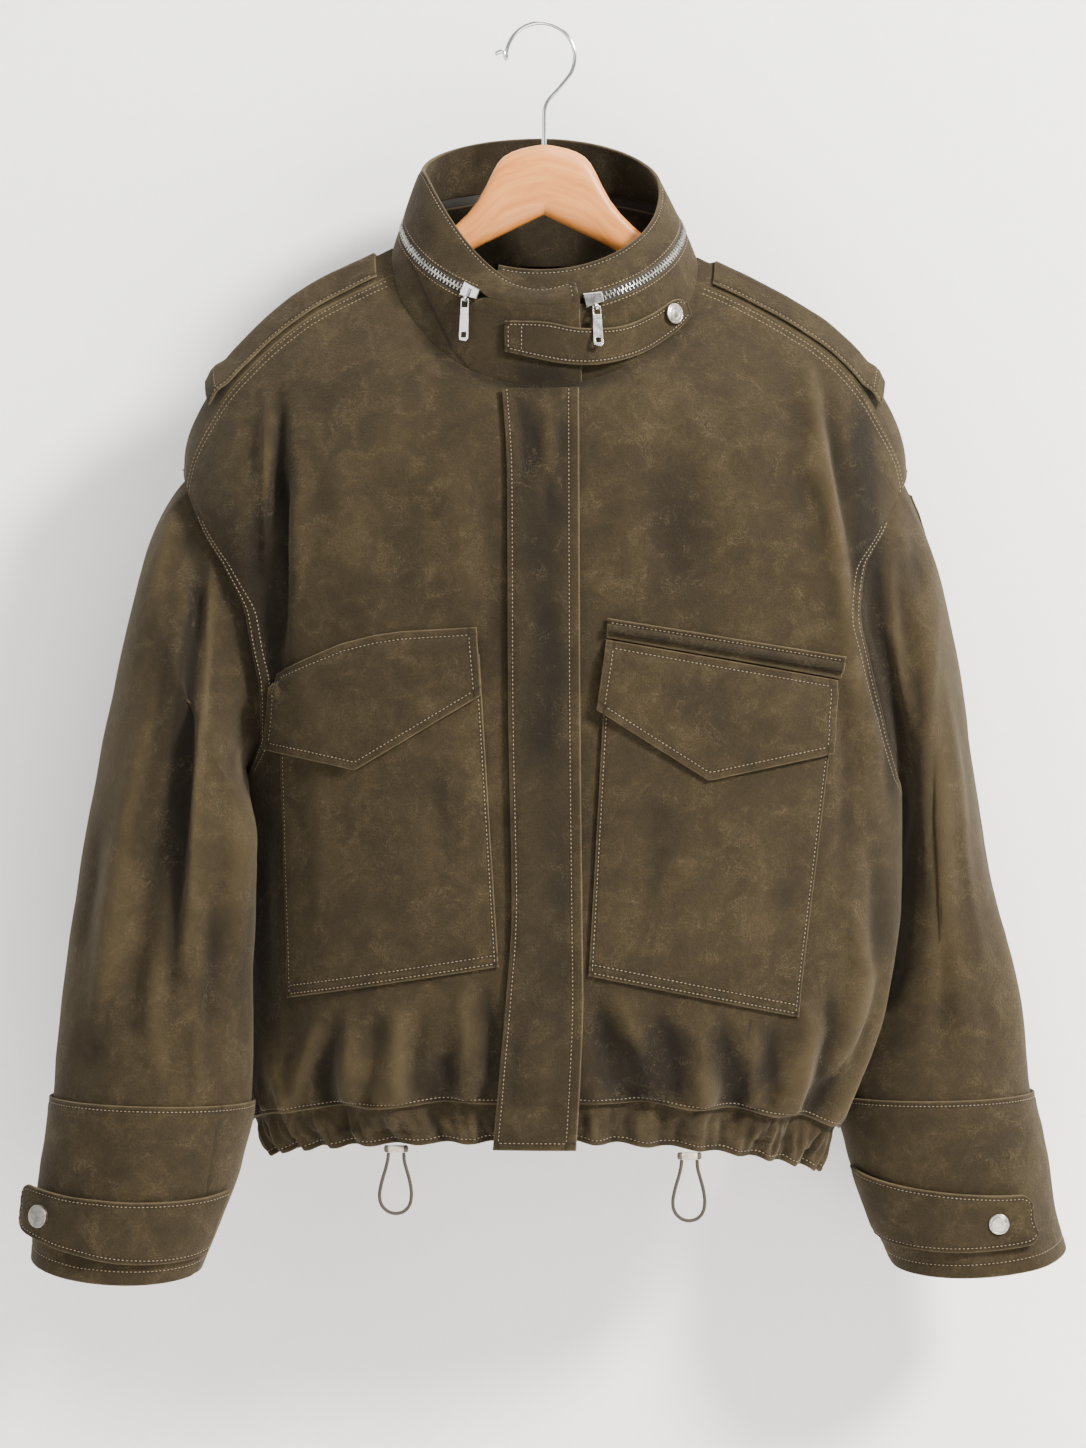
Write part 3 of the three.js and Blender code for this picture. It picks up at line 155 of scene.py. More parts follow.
# The height of the listed creases at (a, b). A stroke is its points, its half width and its rise.
# A trough has a rise below nothing, and each stroke fades out at both ends.
def creaseHeight(strokes, a, b, gain=1.0):
    height = np.zeros(np.broadcast(a, b).shape)
    for points, width, rise in strokes:
        points = np.array(points, float)
        lengths = np.hypot(*np.diff(points, axis=0).T)
        starts = np.concatenate([[0], np.cumsum(lengths)])
        nearest = np.full(height.shape, 1e9)
        along = np.zeros(height.shape)
        for (a0, b0), (a1, b1), start, length in zip(points[:-1], points[1:], starts, lengths):
            s = np.clip(((a - a0) * (a1 - a0) + (b - b0) * (b1 - b0)) / length**2, 0, 1)
            d = np.hypot(a - mix(a0, a1, s), b - mix(b0, b1, s))
            closer = d < nearest
            nearest = np.where(closer, d, nearest)
            along = np.where(closer, (start + s * length) / starts[-1], along)
        swell = np.sin(math.pi * np.clip(along, 0.02, 0.98)) ** 0.6
        height += gain * rise * np.exp(-((nearest / width) ** 2)) * swell
    return height


# The cloth's forms, worked out as the solids' own are.
body = tableOf(
    "rightHalf rightZ rightY leftHalf leftZ leftY frontDepth frontZ backDepth backZ square leftDip",
    [
        (107.5, -157.5, 0, 113.8, -164, 0, 78, -260, 66, -160, 0.0, 1),
        (168, -189.5, -5, 173, -194.5, -5, 88, -292, 76, -195, 0.02, 1),
        (203, -219.5, -5, 211.5, -222, -5, 94, -320, 80, -226, 0.03, 1),
        (230, -253, -2, 236, -253.5, -3, 98, -348, 83, -261, 0.04, 1),
        (250, -307, 3, 256, -308, -5, 101, -388, 85, -316, 0.05, 1),
        (238, -410, 12, 256, -412, -14, 103, -445, 86, -415, 0.06, 1),
        (208, -535, 20, 251, -538, -22, 103, -553, 86, -550, 0.06, 1),
        (207, -612, 22, 251, -612, -25, 104, -625, 84, -622, 0.06, 1),
        (208, -682, 20, 238, -684, -25, 105, -690, 82, -692, 0.06, 1),
        (207, -732, 15, 223, -734, -22, 105, -728, 79, -738, 0.05, 1),
        (203, -768, 9, 208, -771, -16, 98, -747, 70, -759, 0.04, 1.3),
        (190, -794, 6, 194, -801, -12, 90, -775, 62, -785, 0.03, 1.8),
    ],
)
bodyFolds = [
    (-47.5, -47.5, 2.2, 5.3, -7, 3.6), (49, 53, 1.8, 5.5, 4, 4), (-60, -55, 8.2, 10.6, 5, 5),
    (-44, -40, 8.3, 10.6, -5, 5), (-30, -30, 8.1, 10.6, 6, 6), (-16, -18, 8.0, 10.6, -6, 4),
    (14, 20, 7.9, 10.6, -7, 5), (24, 29, 8.3, 10.6, 6, 5), (36, 38, 8.4, 10.6, -5, 4.5),
    (47, 47, 8.3, 10.6, 6, 5), (72, 58, 7.4, 10.6, -6, 5), (80, 68, 7.0, 10.6, 6, 6),
    (110, 112, 7.8, 10.6, -6, 6), (128, 130, 8.0, 10.6, 6, 6), (146, 147, 7.6, 10.6, -6, 6),
    (163, 165, 8.2, 10.6, 5, 6), (182, 181, 7.9, 10.6, -6, 6), (200, 198, 8.2, 10.6, 6, 6),
    (219, 218, 7.7, 10.6, -5, 6), (238, 238, 8.0, 10.6, 6, 7), (256, 255, 7.8, 10.6, -5, 6),
]


def foldHeight(folds, angle, level):
    height = np.zeros(np.broadcast(angle, level).shape)
    for angleTop, angleEnd, start, end, rise, spreadAngle in folds:
        along = (level - start) / (end - start)
        across = turned(angle - mix(angleTop, angleEnd, along)) / spreadAngle
        length = smooth(0, 0.35, along) * (1 - smooth(0.85, 1, along) * 0.5)
        height += np.where((along > 0) & (along < 1), rise * np.exp(-across * across) * length, 0)
    return height


def bareBody(angle, level):
    level = np.clip(level, -0.4, 11)
    read = lambda name: readColumn(body[name], level)
    there = turned(angle)
    left, front = there >= 0, np.abs(there) <= 90
    half = np.where(left, read("leftHalf"), read("rightHalf"))
    sideZ = np.where(left, read("leftZ"), read("rightZ"))
    sideY = np.where(left, read("leftY"), read("rightY"))
    depth = np.where(front, -read("frontDepth"), read("backDepth"))
    endZ = np.where(front, read("frontZ"), read("backZ"))
    a = np.radians(np.where(front, np.abs(there), 180 - np.abs(there)))
    squared = read("square") * np.sin(2 * a)
    across, along = np.sin(a + squared), np.cos(a - squared)
    dip = np.where(left & front, read("leftDip"), 1)
    return xyz(np.where(left, 1, -1) * half * across, mix(sideY, depth, along),
               mix(sideZ, endZ, np.maximum(along, 0) ** dip))


def normalOf(form, u, v, stepU=0.4, stepV=0.02):
    alongU = form(u + stepU, v) - form(u - stepU, v)
    alongV = form(u, v + stepV) - form(u, v - stepV)
    return unit(np.cross(alongV, alongU))


def bodyForm(angle, level):
    height = foldHeight(bodyFolds, angle, level)
    return bareBody(angle, level) + normalOf(bareBody, angle, level) * height[..., None]


# Creases of the fronts and the back by x and z: points, half width, rise.
frontCreases = [
    ([(-189, -262), (-187.5, -310), (-187, -365), (-188, -400)], 3.2, 2.6),
    ([(-180, -262), (-179, -330), (-179, -390), (-182, -455)], 5.5, -7.0),
    ([(-166, -270), (-164, -330), (-167, -400)], 8, 1.6),
    ([(-190, -410), (-188, -450), (-184, -500)], 6, -2.5),
    ([(-197, -255), (-199, -300), (-200, -340)], 6, -1.4),
    ([(-140, -300), (-128, -360), (-118, -420)], 15, 1.5),
    ([(-100, -330), (-92, -380), (-96, -430)], 14, -1.4),
    ([(-62, -300), (-52, -360), (-48, -430)], 12, 1.4),
    ([(-40, -300), (-33, -380), (-33, -440)], 7, -1.2),
    ([(-205, -520), (-204, -590), (-200, -660)], 9, 2.2),
    ([(-190, -560), (-192, -620), (-190, -680)], 7, -2.4),
    ([(-150, -690), (-161, -720), (-172, -752)], 6, 3.4),
    ([(-140, -690), (-146, -720), (-150, -756)], 6, -3.0),
    ([(-128, -688), (-131, -720), (-134, -756)], 5.5, 3.0),
    ([(-112, -690), (-116, -725), (-120, -758)], 6, -3.2),
    ([(-95, -680), (-98, -715), (-100, -752)], 6.5, 3.6),
    ([(-78, -682), (-84, -715), (-86, -752)], 5.5, -3.0),
    ([(-52, -668), (-50, -705), (-52, -750)], 6.5, 3.8),
    ([(-38, -664), (-34, -700), (-36, -748)], 6, -3.4),
    ([(36, -668), (43, -700), (57, -748)], 7, -4.2),
    ([(50, -670), (66, -705), (80, -750)], 6, 3.6),
    ([(80, -680), (87, -715), (95, -752)], 6, -3.0),
    ([(102, -684), (108, -715), (112, -755)], 6, 3.2),
    ([(122, -688), (127, -720), (128, -760)], 5.5, -3.0),
    ([(140, -690), (143, -725), (143, -762)], 6, 3.2),
    ([(158, -692), (158, -725), (156, -765)], 6, -3.0),
    ([(178, -680), (184, -700), (176, -735), (166, -770)], 6.5, 4.2),
    ([(196, -670), (200, -700), (192, -735), (180, -770)], 6, -3.6),
    ([(214, -620), (222, -660), (212, -705), (196, -750)], 8, 4.0),
    ([(226, -560), (232, -620), (228, -670)], 8, -2.4),
    ([(182, -232), (190, -290), (200, -350), (209, -425)], 6, 3.6),
    ([(196, -250), (204, -310), (214, -370), (222, -430)], 6, -3.4),
    ([(170, -250), (176, -310), (186, -380)], 9, -1.6),
    ([(150, -290), (140, -340), (128, -400)], 16, 1.6),
    ([(98, -300), (92, -350), (96, -400)], 15, -1.5),
    ([(60, -300), (58, -350), (62, -400)], 10, 1.4),
    ([(215, -440), (226, -500), (230, -560)], 7, 2.4),
    ([(205, -450), (210, -520), (205, -600)], 7, -2.0),
    ([(-85, -262), (-105, -300), (-110, -340)], 12, 1.2),
    ([(90, -262), (112, -300), (122, -340)], 12, 1.2),
]
backCreases = [
    ([(-60, -210), (-120, -300), (-150, -420)], 18, 2.4),
    ([(60, -215), (118, -305), (150, -430)], 18, 2.2),
    ([(-30, -240), (-36, -400), (-28, -560)], 16, -1.8),
    ([(34, -250), (30, -420), (38, -600)], 15, 1.8),
    ([(-172, -330), (-178, -430), (-172, -540)], 8, -4.0),
    ([(-186, -340), (-192, -440), (-184, -540)], 7, 3.4),
    ([(176, -320), (186, -420), (188, -540)], 8, -3.8),
    ([(190, -340), (200, -440), (204, -540)], 7, 3.2),
    ([(-120, -560), (-96, -640), (-92, -740)], 12, 3.4),
    ([(-80, -600), (-66, -680), (-64, -752)], 9, -3.4),
    ([(-30, -620), (-26, -690), (-30, -756)], 8, 3.6),
    ([(0, -640), (4, -700), (2, -758)], 8, -3.2),
    ([(36, -610), (30, -690), (32, -756)], 9, 3.4),
    ([(70, -600), (66, -680), (60, -752)], 8, -3.4),
    ([(120, -560), (104, -650), (96, -745)], 12, 3.6),
    ([(150, -620), (140, -690), (130, -755)], 8, -3.4),
    ([(182, -600), (180, -680), (168, -750)], 9, 3.4),
    ([(-160, -620), (-150, -690), (-140, -750)], 8, -3.4),
    ([(-186, -610), (-180, -690), (-170, -745)], 8, 3.2),
    ([(-150, -480), (-90, -520), (-40, -510)], 14, -1.8),
    ([(150, -500), (96, -534), (50, -522)], 14, -1.8),
]
gathers = 36


def gatherPhase(angle):
    return gathers * (angle + 2.4 * np.sin(np.radians(3.1 * angle))
                      + 1.3 * np.sin(np.radians(7.3 * angle))) / 360


def fromSeam(angle):
    return smooth(0, 5, np.abs(np.abs(turned(angle)) - 90))


def gather(angle):
    depth = 4 * (0.75 + 0.25 * np.sin(np.radians(5.2 * angle) + 1))
    return np.sin(2 * math.pi * gatherPhase(angle)) * depth * fromSeam(angle)


# What the panels rise over their form at an angle and a level: creases, the gathers' pull and unevenness.
def bodyCrease(angle, level, point):
    x, z = point[..., 0], point[..., 2]
    there = np.abs(turned(angle))
    frontShare = 1 - smooth(84, 92, there)
    height = creaseHeight(frontCreases, x, z, 1.6) * frontShare
    height += creaseHeight(backCreases, x, z, 1.3) * smooth(88, 98, there)
    height += uneven(point, 70, 1) * 1.1 + uneven(point, 30, 2) * 0.45 + uneven(point, 13, 3) * 0.12
    pull = smooth(8.9, 9.9, level)
    height += pull * 0.5 * gather(angle) * fromSeam(angle)
    height += pull * 0.7 * np.sin(2 * math.pi * (gatherPhase(angle) * 1.9 + 0.3)) * fromSeam(angle)
    beside = smooth(0, 9, np.abs(x) - 20 + 40 * (there > 90))
    calm = smooth(0, 0.5, level) * (1 - smooth(9.75, 10, level)) * beside
    atArmhole = np.ones_like(height)
    for name, low, high in (("rightFront", -180, 0), ("leftFront", 0, 180)):
        sideEdge = edgeAngle(level, name)
        backEdge = edgeAngle(level, "back")
        here = (turned(angle) >= low) & (turned(angle) < high) & (level > 3.9) & (level < 6.1)
        near = np.minimum(np.abs(there - sideEdge), np.abs(there - backEdge))
        atArmhole = np.where(here, smooth(0.5, 6, near), atArmhole)
    return height * calm * atArmhole


neckDraw = 2.9
armhole = tableOf("level rightFront leftFront back", [
    (4.0, 79, 79, 79), (4.04, 76, 75, 88), (4.12, 71, 68, 97), (4.4, 60, 58, 110), (4.8, 54, 55.5, 117),
    (5.2, 54, 60, 119), (5.6, 60, 69, 115), (5.85, 74, 79, 104), (6.0, 90, 90, 90),
])


def edgeAngle(level, name):
    at = np.interp(level, armhole["level"][0], np.arange(9))
    return np.where(level <= 4, 79, np.where(level >= 6, 90, readColumn(armhole[name], at)))


# The top edge is drawn in to the collar's seam.
def onBody(angle, level, lift=0, crease=1.0):
    point = bodyForm(angle, level)
    normal = normalOf(bodyForm, angle, level)
    lift = lift - neckDraw * (1 - smooth(0, 0.3, level)) ** 2 * (1 - np.abs(normal[..., 2]))
    return point + normal * (lift + crease * bodyCrease(angle, level, point))[..., None]


# Meshes of cloth, as walls with rounded rims.
def cumulative(points, axis):
    step = np.linalg.norm(np.diff(points, axis=axis), axis=-1)
    zero = np.zeros_like(np.take(step, [0], axis=axis))
    return np.concatenate([zero, np.cumsum(step, axis=axis)], axis=axis)


def gridNormals(p, closed):
    if closed:
        p = np.concatenate([p[:, -1:], p, p[:, :1]], axis=1)
    down, along = np.gradient(p, axis=0), np.gradient(p, axis=1)
    n = unit(np.cross(down, along))
    return n[:, 1:-1] if closed else n


# Shares along an edge in millimetres, with close rows near both ends for the rounding and the stitches.
def spacing(total, step, start=(0, 0.35, 0.8, 1.5, 2.4, 3.4, 4.6, 6.2, 8.2, 10.6), end=None):
    end = start if end is None else end
    inner = total - start[-1] - end[-1]
    count = max(int(round(inner / step)), 1)
    middle = start[-1] + inner * np.arange(1, count) / count
    return np.concatenate([start, middle, total - np.array(end)[::-1]]) / total




# A piece of cloth: its outer grid, rows down and columns to the wearer's left, as a wall.
# seams lists its stitched lines: (edge, inset), and free names the edges that are cut and show.
# Painted shade: soft areas where the front is painted darker, placed where the photograph is darkest: x, z,
# half width, half height, and how dark.
shadows = [(222, -300, 9, 40, 6.5), (225, -380, 10, 50, 8.5), (233, -465, 10, 45, 8),
           (243, -522, 8, 30, 6), (-191, -640, 13, 75, 7), (-187, -540, 7, 50, 4),
           (-212, -385, 12, 50, 3.5), (-198, -450, 8, 45, 4), (-246, -510, 10, 60, 2.5),
           (72, -716, 42, 28, 3.6), (112, -722, 26, 24, 4), (150, -730, 14, 30, 2),
           (-60, -735, 16, 24, 2.5), (0, -480, 21, 300, 4.2), (2, -250, 60, 11, 3.5),
           (246, -640, 9, 80, 3.5), (110, -350, 70, 100, 2.0), (-60, -560, 20, 40, 1.2)]


# How much painted shade each point gets, on the faces that look to the front.
def shadeAt(points, normals):
    x, z = points[..., 0], points[..., 2]
    total = np.zeros(x.shape)
    for x0, z0, halfWidth, halfHeight, depth in shadows:
        total = total + depth * np.exp(-(((x - x0) / halfWidth) ** 2) - ((z - z0) / halfHeight) ** 2)
    return total * smooth(-0.3, 0.4, -normals[..., 1])


def clothPiece(name, points, thickness, seams=(), free="top bottom left right", closed=False, folds=None,
               groove=None,
               keep=None):
    normals = gridNormals(points, closed)
    down, across = cumulative(points, 0), cumulative(points, 1)
    apart = {"top": down, "bottom": down[-1:] - down, "left": across, "right": across[:, -1:] - across}
    edge = np.full(points.shape[:2], 60.0)
    for name1 in free.split():
        edge = np.minimum(edge, apart[name1])
    if keep is not None:
        edge = edge + keep
    seam = np.full(points.shape[:2], 60.0)
    sink = np.zeros(points.shape[:2])
    for side, inset in seams:
        away = np.abs(apart[side] - inset)
        seam = np.minimum(seam, away)
        sink = np.maximum(sink, 0.42 * np.exp(-((away / 1.2) ** 2)))
    if groove is not None:
        seam = np.minimum(seam, groove)
        sink = np.maximum(sink, 0.55 * np.exp(-((groove / 1.2) ** 2)))
    radius = thickness / 2
    drop = radius - np.sqrt(np.maximum(radius**2 - np.maximum(radius - edge, 0) ** 2, 0))
    outer = points - normals * (drop + sink)[..., None]
    inner = points - normals * (thickness - drop * 0.9)[..., None]
    rows, columns = points.shape[:2]
    total = rows * columns
    index = np.arange(total).reshape(rows, columns)
    if closed:
        index = np.concatenate([index, index[:, :1]], axis=1)
    a, b, c, d = index[:-1, :-1], index[1:, :-1], index[1:, 1:], index[:-1, 1:]
    faces = [np.stack([a, b, c, d], -1).reshape(-1, 4), np.stack([a, d, c, b], -1).reshape(-1, 4) + total]
    top, bottom = index[0], index[-1]
    rims = [(top[:-1], top[1:], top[1:] + total, top[:-1] + total),
            (bottom[:-1], bottom[:-1] + total, bottom[1:] + total, bottom[1:])]
    if not closed:
        left, right = index[:, 0], index[:, -1]
        rims += [(left[:-1], left[:-1] + total, left[1:] + total, left[1:]),
                 (right[:-1], right[1:], right[1:] + total, right[:-1] + total)]
    faces += [np.stack(rim, -1) for rim in rims]
    faces = np.concatenate(faces)
    vertices = np.concatenate([outer.reshape(-1, 3), inner.reshape(-1, 3)])
    piece = meshPiece(name, vertices, faces)
    # The fold heights set the painted light and shade: the cloth is painted lighter on ridges and darker in
    # troughs.
    fold = np.zeros((rows, columns)) if folds is None else folds
    # The painted shade areas are taken off, so the cloth is painted darker there.
    fold = fold - shadeAt(points, normals)
    inside = np.full(total, 60.0)
    setAttribute(piece, "edge", np.concatenate([edge.ravel(), edge.ravel()]))
    setAttribute(piece, "seam", np.concatenate([seam.ravel(), inside]))
    # The inner side is shifted 3 towards dark: painted shade where it shows inside the neck, hem and cuffs.
    setAttribute(piece, "fold", np.concatenate([fold.ravel(), -fold.ravel() - 3]))
    grids[name] = {"p": points - normals * sink[..., None], "n": normals, "apart": apart, "closed": closed}
    return piece


grids = {}


def meshPiece(name, vertices, faces):
    mesh = bpy.data.meshes.new(name)
    faces = np.asarray(faces, np.int32)
    mesh.vertices.add(len(vertices))
    mesh.vertices.foreach_set("co", (np.asarray(vertices) * mm).astype(np.float32).ravel())
    mesh.loops.add(faces.size)
    mesh.loops.foreach_set("vertex_index", faces.ravel())
    mesh.polygons.add(len(faces))
    mesh.polygons.foreach_set("loop_start", np.arange(0, faces.size, faces.shape[1], dtype=np.int32))
    mesh.polygons.foreach_set("use_smooth", np.ones(len(faces), bool))
    mesh.update(calc_edges=True)
    mesh.validate()
    piece = bpy.data.objects.new(name, mesh)
    bpy.context.scene.collection.objects.link(piece)
    return piece


def setAttribute(piece, name, values):
    layer = piece.data.attributes.new(name, "FLOAT", "POINT")
    layer.data.foreach_set("value", np.asarray(values, np.float32))


def setVectors(piece, name, values):
    layer = piece.data.attributes.new(name, "FLOAT_VECTOR", "POINT")
    layer.data.foreach_set("vector", np.asarray(values, np.float32).ravel())


# A line of points and normals at an inset from one edge of a piece, kept clear of the other edges.
def seamLine(name, side, inset, clear=None, part01=(0, 1)):
    grid = grids[name]
    p, n, apart = grid["p"], grid["n"], grid["apart"]
    clear = clear or {}
    rowsRun = side in ("left", "right")
    d = apart[side] if rowsRun else apart[side].T
    pp, nn = (p, n) if rowsRun else (p.transpose(1, 0, 2), n.transpose(1, 0, 2))
    others = {key: (value if rowsRun else value.T) for key, value in apart.items() if key in clear}
    line, normals = [], []
    for r in range(d.shape[0]):
        share = r / max(d.shape[0] - 1, 1)
        if not part01[0] <= share <= part01[1] or d[r].max() < inset:
            continue
        order = d[r] if d[r][0] < d[r][-1] else d[r][::-1]
        at = np.interp(inset, order, np.arange(len(order)))
        if d[r][0] >= d[r][-1]:
            at = len(order) - 1 - at
        low = min(int(at), len(order) - 2)
        s = at - low
        if any(mix(value[r][low], value[r][low + 1], s) < clear[key] - 0.01 for key, value in others.items()):
            continue
        line.append(mix(pp[r][low], pp[r][low + 1], s))
        normals.append(mix(nn[r][low], nn[r][low + 1], s))
    return np.array(line), np.array(normals)


stitch = {"pitch": 2.9, "length": 1.75, "width": 0.66, "height": 0.5, "sunk": 0.0}


# Places a stitch at each pitch of each line: low lozenges of thread, all in one mesh.
def stitchMesh(name, lines, pitch=None, jitter=0.1):
    pitch = pitch or stitch["pitch"]
    random = np.random.default_rng(11)
    ring = np.radians(np.arange(5) * 72 + 18)
    shape = [(-0.5, 0, 0)]
    for x, size in ((-0.3, 0.85), (0.3, 0.85)):
        shape += [(x, size * math.cos(a), size * math.sin(a)) for a in ring]
    shape = np.array(shape + [(0.5, 0, 0)])
    faces = [(0, 1 + (i + 1) % 5, 1 + i) for i in range(5)] + [(11, 6 + i, 6 + (i + 1) % 5) for i in range(5)]
    for i in range(5):
        j = (i + 1) % 5
        faces += [(1 + i, 1 + j, 6 + j), (1 + i, 6 + j, 6 + i)]
    faces = np.array(faces)[:, ::-1]
    verts, allFaces = [], []
    for line, normals in lines:
        if len(line) < 2:
            continue
        length = np.concatenate([[0], np.cumsum(np.linalg.norm(np.diff(line, axis=0), axis=1))])
        count = int(length[-1] / pitch)
        for i in range(count):
            middle = (i + 0.5) * length[-1] / count
            ends = [np.array([np.interp(v, length, line[:, k]) for k in range(3)])
                    for v in (middle - stitch["length"] / 2, middle + stitch["length"] / 2)]
            n = unit(np.array([np.interp(middle, length, normals[:, k]) for k in range(3)]))
            along = unit(ends[1] - ends[0] + random.normal(0, jitter, 3))
            across = unit(np.cross(n, along))
            up = np.cross(along, across)
            centre = (ends[0] + ends[1]) / 2 + up * stitch["sunk"]
            local = shape * np.array([stitch["length"], stitch["width"] / 2, stitch["height"] / 2])
            allFaces.append(faces + 12 * len(verts))
            verts.append(centre + local[:, :1] * along + local[:, 1:2] * across + local[:, 2:] * up)
    piece = meshPiece(name, np.concatenate(verts), np.concatenate(allFaces))
    return piece


# Materials.
def socket(group, name, kind, inOut, value=None):
    made = group.interface.new_socket(name=name, in_out=inOut, socket_type=kind)
    if value is not None:
        made.default_value = value
    return made


def link(tree, source, target):
    tree.links.new(source, target)


def node(tree, kind, **values):
    made = tree.nodes.new(kind)
    for key, value in values.items():
        if key.startswith("in_"):
            made.inputs[int(key[3:])].default_value = value
        else:
            setattr(made, key, value)
    return made


def mathNode(tree, operation, a, b=None, clamp=False):
    made = node(tree, "ShaderNodeMath", operation=operation, use_clamp=clamp)
    for index, value in enumerate((a, b)):
        if value is None:
            continue
        if isinstance(value, (int, float)):
            made.inputs[index].default_value = value
        else:
            link(tree, value, made.inputs[index])
    return made.outputs[0]


def rampNode(tree, value, stops):
    made = node(tree, "ShaderNodeValToRGB")
    ramp = made.color_ramp
    while len(ramp.elements) < len(stops):
        ramp.elements.new(0.5)
    for element, (place, colour) in zip(ramp.elements, stops):
        element.position = place
        element.color = (*colour, 1) if len(colour) == 3 else colour
    link(tree, value, made.inputs[0])
    return made.outputs[0]


def rangeNode(tree, value, low, high, toLow, toHigh):
    made = node(tree, "ShaderNodeMapRange")
    link(tree, value, made.inputs[0])
    for index, number in enumerate((low, high, toLow, toHigh), 1):
        made.inputs[index].default_value = number
    return made.outputs[0]


def mixColours(tree, factor, a, b, blend="MIX"):
    made = node(tree, "ShaderNodeMix", data_type="RGBA", blend_type=blend)
    if isinstance(factor, (int, float)):
        made.inputs[0].default_value = factor
    else:
        link(tree, factor, made.inputs[0])
    for index, value in ((6, a), (7, b)):
        if isinstance(value, tuple):
            made.inputs[index].default_value = (*value, 1)
        else:
            link(tree, value, made.inputs[index])
    return made.outputs[2]


# The nap of suede: blotches, brushed fibres and scuffs, in object space.
def makeNapGroup():
    group = bpy.data.node_groups.new("suedeNap", "ShaderNodeTree")
    socket(group, "Blotch Size", "NodeSocketFloat", "INPUT", 1.0)
    socket(group, "Fibre Size", "NodeSocketFloat", "INPUT", 1.0)
    socket(group, "Tone", "NodeSocketFloat", "OUTPUT")
    socket(group, "Scuff", "NodeSocketFloat", "OUTPUT")
    socket(group, "Height", "NodeSocketFloat", "OUTPUT")
    inputs, outputs = node(group, "NodeGroupInput"), node(group, "NodeGroupOutput")
    place = node(group, "ShaderNodeTexCoord").outputs["Object"]

    def noise(scale, detail, rough, distortion=0.0, size=None, vector=place):
        made = node(group, "ShaderNodeTexNoise")
        link(group, vector, made.inputs["Vector"])
        made.inputs["Scale"].default_value = scale
        made.inputs["Detail"].default_value = detail
        made.inputs["Roughness"].default_value = rough
        made.inputs["Distortion"].default_value = distortion
        if size is not None:
            link(group, mathNode(group, "MULTIPLY", size, scale), made.inputs["Scale"])
        return made.outputs["Fac"]

    blotch = noise(17, 4, 0.62, 0.6, inputs.outputs["Blotch Size"])
    patch = noise(52, 3, 0.6, 0.9, inputs.outputs["Blotch Size"])
    fibre = noise(430, 3, 0.7, 1.6, inputs.outputs["Fibre Size"])
    fine = noise(1300, 2, 0.6, 0.4, inputs.outputs["Fibre Size"])
    # short curved scuffs, where a warped noise passes through its middle
    worm = noise(120, 2, 0.5, 2.4, inputs.outputs["Fibre Size"])
    thin = mathNode(group, "ABSOLUTE", mathNode(group, "SUBTRACT", worm, 0.5))
    scuff = rangeNode(group, thin, 0.0, 0.03, 1.0, 0.0)
    scuff = mathNode(group, "MULTIPLY", scuff, rangeNode(group, patch, 0.48, 0.66, 0.0, 1.0))
    tone = mathNode(group, "ADD", mathNode(group, "MULTIPLY", blotch, 0.30),
                    mathNode(group, "MULTIPLY", patch, 0.22))
    tone = mathNode(group, "ADD", tone, mathNode(group, "MULTIPLY", fibre, 0.34))
    tone = mathNode(group, "ADD", tone, mathNode(group, "MULTIPLY", fine, 0.14))
    height = mathNode(group, "ADD", mathNode(group, "MULTIPLY", fibre, 0.55),
                      mathNode(group, "MULTIPLY", fine, 0.3))
    height = mathNode(group, "ADD", height, mathNode(group, "MULTIPLY", patch, 0.5))
    height = mathNode(group, "ADD", height, mathNode(group, "MULTIPLY", scuff, 0.25))
    link(group, tone, outputs.inputs["Tone"])
    link(group, scuff, outputs.inputs["Scuff"])
    link(group, height, outputs.inputs["Height"])
    return group


suedeLook = {
    "dark": (0.0052, 0.0033, 0.0011), "base": (0.0195, 0.0132, 0.0049), "light": (0.047, 0.0335, 0.0142),
    "worn": (0.112, 0.084, 0.043), "stitchShade": 0.7, "bump": 1.0,
}
napGroup = makeNapGroup()


def newMaterial(name):
    material = bpy.data.materials.new(name)
    material.use_nodes = True
    tree = material.node_tree
    return material, tree, tree.nodes["Principled BSDF"]


